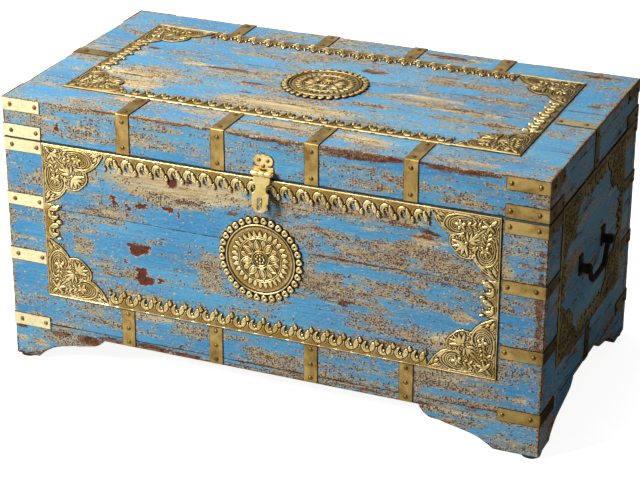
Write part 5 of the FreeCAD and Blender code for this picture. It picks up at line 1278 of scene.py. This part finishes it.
def place_on(face, origin):
    def front(p, q, h):
        return np.stack([origin[0] + p, -242.0 - h, origin[2] + q], 1)

    def right(p, q, h):
        return np.stack([456.0 + h, origin[1] + p, origin[2] + q], 1)

    def left(p, q, h):
        return np.stack([-456.0 - h, origin[1] + p, origin[2] + q], 1)

    def top(p, q, h):
        return np.stack([origin[0] + p, origin[1] + q, 460.5 + h], 1)

    return {"front": front, "right": right, "left": left, "top": top}[face]


def frame_field(w, h, p, q):
    """Outline distance and height of an embossed frame, w by h, at points p, q from its lower left corner."""
    cu, squeeze = 113.0, 0.92
    cv = cu * squeeze
    sd, high = np.full(p.shape, 9.0), np.zeros(p.shape)
    near = np.minimum.reduce([p, w - p, q, h - q])
    rs, rh = rim(near, np.where(np.minimum(p, w - p) < np.minimum(q, h - q), q, p))
    sd, high = np.minimum(sd, rs), np.where(rs < 0.8, np.maximum(high, rh), high)
    nu, nv = int((w - 2 * cu) / PITCH + 0.5), int((h - 2 * cv) / PITCH + 0.5)
    for along, t, start, length, count in ((p, h - q, cu, w - 2 * cu, nu), (p, q, cu, w - 2 * cu, nu), (q, p, cv, h - 2 * cv, nv), (q, w - p, cv, h - 2 * cv, nv)):
        on = (along >= start) & (along <= start + length) & (t < 34)
        pitch = length / count
        s = (np.mod(along[on] - start, pitch) - pitch / 2) * PITCH / pitch
        cs, ch = chain(s, t[on])
        sd[on] = np.minimum(sd[on], cs)
        high[on] = np.maximum(high[on], ch)
    for fu in (False, True):
        for fv in (False, True):
            U, V = (w - p if fu else p), (h - q if fv else q) / squeeze
            on = (U < 120) & (V < 120)
            if not on.any():
                continue
            ts, th = corner_tile(U[on], V[on])
            sub_s, sub_h, sub_rim = sd[on], high[on], rh[on]
            sub_h = np.where(ts < 0, np.where(near[on] < 4.2, sub_rim, th), sub_h)
            sd[on], high[on] = np.minimum(sub_s, ts), sub_h
    return sd, high


def brass_frame(node, face, seed, step=1.0):
    lo, hi = box_mm(node)
    ia, ib = {"front": (0, 2), "right": (1, 2), "left": (1, 2), "top": (0, 1)}[face]
    w, h = hi[ia] - lo[ia], hi[ib] - lo[ib]
    P, Q = np.linspace(0, w, int(round(w / step)) + 1), np.linspace(0, h, int(round(h / step)) + 1)
    PP, QQ = np.meshgrid(P, Q, indexing="ij")
    sd, high = frame_field(w, h, PP, QQ)
    high = high + 0.12 * fbm(PP / 7, QQ / 7, 520 + seed, 2)
    o = sheet_mesh(node + "_embossed", P, Q, sd, high, 0.9, place_on(face, lo), face == "left", seed)
    return stands_for(o, node)


brass_frame("front_brass_frame", "front", 1)
brass_frame("right_brass_frame", "right", 2)
brass_frame("left_brass_frame", "left", 3)
brass_frame("lid_brass_frame", "top", 4)


def bead_gap(x, y):
    """Distance from the middle of the nearest bead of a medallion's edge."""
    beads = 32
    a = (np.floor(np.arctan2(y, x) / (2 * np.pi / beads)) + 0.5) * 2 * np.pi / beads
    return np.hypot(x - 66.0 * np.cos(a), y - 66.0 * np.sin(a))


def medallion(node, face, seed, step=0.6):
    lo, hi = box_mm(node)
    R = 72.0
    P = np.linspace(0, 2 * R, int(2 * R / step) + 1)
    PP, QQ = np.meshgrid(P, P, indexing="ij")
    x, y = PP - R, QQ - R
    r = np.hypot(x, y)
    bd = bead_gap(x, y)
    sd = np.minimum(r - 60.2, bd - 6.3)
    high = np.where(r < 59.6, 1.3, 0.2) + 0.12 * fbm(PP / 2, QQ / 2, 600 + seed, 2) + 0.25 * fbm(PP / 11, QQ / 11, 605 + seed, 2)
    # hollow beads round the edge
    ring = 2.8 * round_ridge(bd - 2.8, 3.4) - 2.4 * np.exp(-((bd / 1.3) ** 2))
    high = np.where((bd < 6.3) & (r > 59.0), np.maximum(0.2, ring), high)
    # rim, teeth and double ring
    high = np.maximum(high, 2.6 * round_ridge(r - 57.9, 1.5)) - 1.0 * np.exp(-(((r - 55.2) / 0.8) ** 2))

    def cut_in(petals, lift, groove, midrib):
        """Raises a set of petals inside dark outlines cut in the ground."""
        nonlocal high
        near, up = np.full(r.shape, 9.0), np.zeros(r.shape)
        for p0, p1, w, full, fat in petals:
            c0, c1, reach = (p0[0] + p1[0]) / 2, (p0[1] + p1[1]) / 2, math.hypot(p1[0] - p0[0], p1[1] - p0[1]) / 2 + 3
            on = (np.abs(x - c0) < reach) & (np.abs(y - c1) < reach)
            lh, ls, ln = leaf(x[on], y[on], p0, p1, w, full, fat)
            up[on] = np.maximum(up[on], np.where(ls < 0, 1.0 + lift * lh**0.7 - midrib * np.exp(-((ln / 0.6) ** 2)) * smooth(0.5, 0.8, lh), 0))
            near[on] = np.minimum(near[on], ls)
        high = np.where(near < groove, np.minimum(high, 0.25), high)
        high = np.where(near < 0, np.maximum(high, up), high)

    def spoke(a, r0, r1, w, full, fat):
        return (r0 * math.cos(a), r0 * math.sin(a)), (r1 * math.cos(a), r1 * math.sin(a)), w, full, fat

    cut_in([spoke(2 * math.pi * (k + 0.5) / 30, 38.4, 49.0, 3.7, 0.6, 0.7) for k in range(30)], 1.7, 0.9, 0.0)
    high = np.where(np.abs(r - 36.8) < 2.2, 0.4, high)
    high = np.maximum(high, 2.5 * round_ridge(r - 38.0, 1.1))
    high = np.maximum(high, 2.4 * round_ridge(r - 35.4, 1.1))
    turn = math.pi / 8 * 0.5
    cut_in([spoke(2 * math.pi * (k + 0.5) / 8 + turn, 17.5, 34.2, 4.6, 1.2, 0.8) for k in range(8)], 1.2, 0.8, 0.6)
    cut_in([spoke(2 * math.pi * k / 8 + turn, 13.0, 34.6, 6.6, 0.85, 0.85) for k in range(8)], 1.9, 1.0, 0.0)
    # a second outline cut inside each petal
    for k in range(8):
        a = 2 * math.pi * k / 8 + turn
        p0, p1, w, full, fat = spoke(a, 17.0, 31.0, 3.8, 0.85, 0.85)
        on = r < 36
        lh, ls, ln = leaf(x[on], y[on], p0, p1, w, full, fat)
        high[on] = high[on] - 1.3 * np.exp(-((ls / 0.6) ** 2))
    high = np.where(r < 15.5, 0.9 + 0.10 * fbm(PP / 2, QQ / 2, 610 + seed, 2), high)
    high = np.maximum(high, 2.9 * round_ridge(r - 14.2, 1.4))
    high = np.maximum(high, 2.4 * round_ridge(r - 10.8, 0.9))
    for k in range(8):
        a = 2 * math.pi * k / 8
        d = np.hypot(x - 6.4 * math.cos(a), y - 6.4 * math.sin(a))
        high = np.maximum(high, 1.2 + 1.9 * round_ridge(d, 2.15))
    high = np.maximum(high, 1.2 + 2.4 * round_ridge(r, 2.6))
    cx = (lo + hi) / 2
    origin = np.array([cx[0] - R, cx[1] - R, cx[2] - R])
    o = sheet_mesh(node + "_embossed", P, P, sd, high, 0.8, place_on(face, origin), False, seed, blur=4, tone=0.395)
    return stands_for(o, node)


medallion("front_medallion", "front", 11)
medallion("lid_medallion", "top", 12)

# ------------------------------------------------------------------ boards

seed = 1
for side in ("front", "back", "left", "right"):
    for level in (("lower", "middle", "upper") if side in ("front", "back") else ("lower", "upper")):
        wooden("%s_%s_board" % (side, level), side, seed, 1.5 if side == "front" else 2.0 if side == "right" else 2.4)
        seed += 1
    wooden(side + "_plinth", side, seed, 1.5 if side == "front" else 2.0 if side == "right" else 2.4, plinth_profile(side + "_plinth", 0 if side in ("front", "back") else 1))
    seed += 1
    wooden("lid_%s_rail" % side, side, seed, 1.5 if side == "front" else 2.0 if side == "right" else 2.4)
    seed += 1
for part in ("front", "middle", "back"):
    wooden("lid_%s_plank" % part, "top", seed, 1.5)
    seed += 1

for node in ("bottom_front_board", "bottom_middle_board", "bottom_back_board", "bottom_cleats", "foot_blocks"):
    NODES[node].data.materials.clear()
    NODES[node].data.materials.append(RAW)

# ------------------------------------------------------------------ finish of the plain hardware


def finish_node(node, material):
    me = NODES[node].data
    me.materials.clear()
    me.materials.append(material)


def ease(node, width):
    """Breaks the sharp edges of a plain piece."""
    o = NODES[node]
    m = o.modifiers.new("weld", "WELD")
    m.merge_threshold = 0.00002
    m = o.modifiers.new("ease", "BEVEL")
    m.width, m.segments, m.limit_method, m.angle_limit = width * MM, 2, "ANGLE", math.radians(35)
    m.use_clamp_overlap = False
    m.harden_normals = False


for node, width in (("hasp_hinge_plate", 0.45), ("hasp_leaf", 0.6), ("hasp_pin", 0.3), ("hasp_staple", 0.25), ("hinge_case_leaves", 0.4),
                    ("hinge_lid_leaves", 0.4), ("lid_stay_arm", 0.4), ("lid_stay_pivot", 0.4), ("lid_stay_stud", 0.4), ("handle_lugs", 0.4),
                    ("foot_glides", 0.8)):
    ease(node, width)
for node in ("hasp_pin", "hasp_staple", "hinge_case_leaves", "hinge_lid_leaves", "hinge_pins",
             "lid_stay_arm", "lid_stay_pivot", "lid_stay_stud"):
    finish_node(node, HARD)
for node in ("hasp_hinge_plate", "hasp_leaf"):
    finish_node(node, HASP)
for node in ("case_nails", "lid_nails", "hasp_screws", "hinge_lid_screws", "case_screws"):
    finish_node(node, NAIL)
for node in ("handle_lugs", "left_handle_bail", "right_handle_bail"):
    finish_node(node, IRON)
finish_node("foot_glides", GLIDE)

# ------------------------------------------------------------------ floor, light and camera


def floor_material():
    t = Tree("pale_floor")
    n = t.noise(t.coord(), (0.6, 0.6, 0.6), 2, 0.5)
    t.set("Base Color", t.mix(n, (0.86, 0.86, 0.86), (0.9, 0.9, 0.9)))
    t.set("Roughness", 0.9)
    t.set("Emission Color", (1.0, 1.0, 1.0))
    t.set("Emission Strength", 0.91)
    return t.mat


me = bpy.data.meshes.new("floor")
me.from_pydata([(-30, -30, 0), (30, -30, 0), (30, 30, 0), (-30, 30, 0)], [], [(0, 1, 2, 3)])
floor = bpy.data.objects.new("floor", me)
bpy.context.scene.collection.objects.link(floor)
me.materials.append(floor_material())
floor.visible_diffuse = False
floor.visible_glossy = False
floor.visible_shadow = False
floor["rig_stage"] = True


def bounce_material(name, k, warm=0.0):
    t = Tree(name)
    n = t.noise(t.coord(), (0.6, 0.6, 0.6), 2, 0.5)
    t.set("Base Color", t.mix(n, (k + warm, k, k - warm), (k + warm + 0.03, k + 0.03, k - warm + 0.03)))
    t.set("Roughness", 0.9)
    return t.mat


# what the brass mirrors: the same floor without its own glow, with a dark strip beside the shaded end as painted shadow
me = bpy.data.meshes.new("bounce_floor")
me.from_pydata([(-30, -30, -0.001), (0.47, -30, -0.001), (30, -30, -0.001), (30, 30, -0.001), (0.47, 30, -0.001), (-30, 30, -0.001)],
               [], [(0, 1, 4, 5), (1, 2, 3, 4)])
bounce = bpy.data.objects.new("bounce_floor", me)
bpy.context.scene.collection.objects.link(bounce)
me.materials.append(bounce_material("bounce_floor", 0.78))
me.materials.append(bounce_material("shaded_floor", 0.16))
me.polygons[1].material_index = 1
bounce.visible_camera = False
bounce.visible_diffuse = False
bounce.visible_shadow = False
bounce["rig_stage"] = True

# light that the floor throws back onto the shaded end
me = bpy.data.meshes.new("side_floor")
me.from_pydata([(0.47, -0.3, -0.002), (4, -0.3, -0.002), (4, 4, -0.002), (0.47, 4, -0.002)], [], [(0, 1, 2, 3)])
side = bpy.data.objects.new("side_floor", me)
bpy.context.scene.collection.objects.link(side)
me.materials.append(bounce_material("side_floor", 0.83, 0.14))
side.visible_camera = False
side.visible_glossy = False
side.visible_shadow = False
side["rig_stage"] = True

world = bpy.data.worlds.new("studio")
bpy.context.scene.world = world
world.use_nodes = True
bg = world.node_tree.nodes["Background"]
bg.inputs[0].default_value = (1.0, 1.0, 1.0, 1)
bg.inputs[1].default_value = 0.071


def area(name, at, target, size, power, colour=(1, 1, 1)):
    data = bpy.data.lights.new(name, "AREA")
    data.shape, data.size, data.size_y = "RECTANGLE", size[0], size[1]
    data.energy, data.color = power, colour
    o = bpy.data.objects.new(name, data)
    o.location = at
    o.rotation_mode = "QUATERNION"
    o.rotation_quaternion = (Vector(target) - Vector(at)).to_track_quat("-Z", "Y")
    bpy.context.scene.collection.objects.link(o)
    return o


area("key", (-2.1, -2.4, 2.2), (-0.35, -0.2, 0.2), (1.3, 1.3), 185, (1.0, 0.985, 0.96))
area("top", (-0.9, 0.15, 2.6), (-0.7, 0.1, 0.0), (1.8, 2.2), 42, (1.0, 0.98, 0.95))
# a faint sheen on the lid's brass
area("sheen", (-1.0, 2.3, 1.5), (0.0, 0.0, 0.46), (1.9, 1.2), 6.4, (1.0, 0.92, 0.74)).visible_diffuse = False

cam_data = bpy.data.cameras.new("camera")
cam = bpy.data.objects.new("camera", cam_data)
bpy.context.scene.collection.objects.link(cam)
az, el, roll = math.radians(22.857), math.radians(23.903), math.radians(0.146)
back = Vector((math.sin(az) * math.cos(el), -math.cos(az) * math.cos(el), math.sin(el)))
right = Vector((math.cos(az), math.sin(az), 0))
up = back.cross(right)
r = math.cos(roll) * right + math.sin(roll) * up
u = -math.sin(roll) * right + math.cos(roll) * up
cam.matrix_world = Matrix(((r.x, u.x, back.x, 1.25309), (r.y, u.y, back.y, -2.99108), (r.z, u.z, back.z, 1.62835), (0, 0, 0, 1)))
cam_data.sensor_width = 36.0
cam_data.lens = 120.07
cam_data.clip_start, cam_data.clip_end = 0.05, 100
bpy.context.scene.camera = cam
bpy.context.scene.view_settings.view_transform = "Standard"

lo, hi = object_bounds()
{"cad_box": [list(cad_lo), list(cad_hi)], "visual_box": [list(lo), list(hi)]}
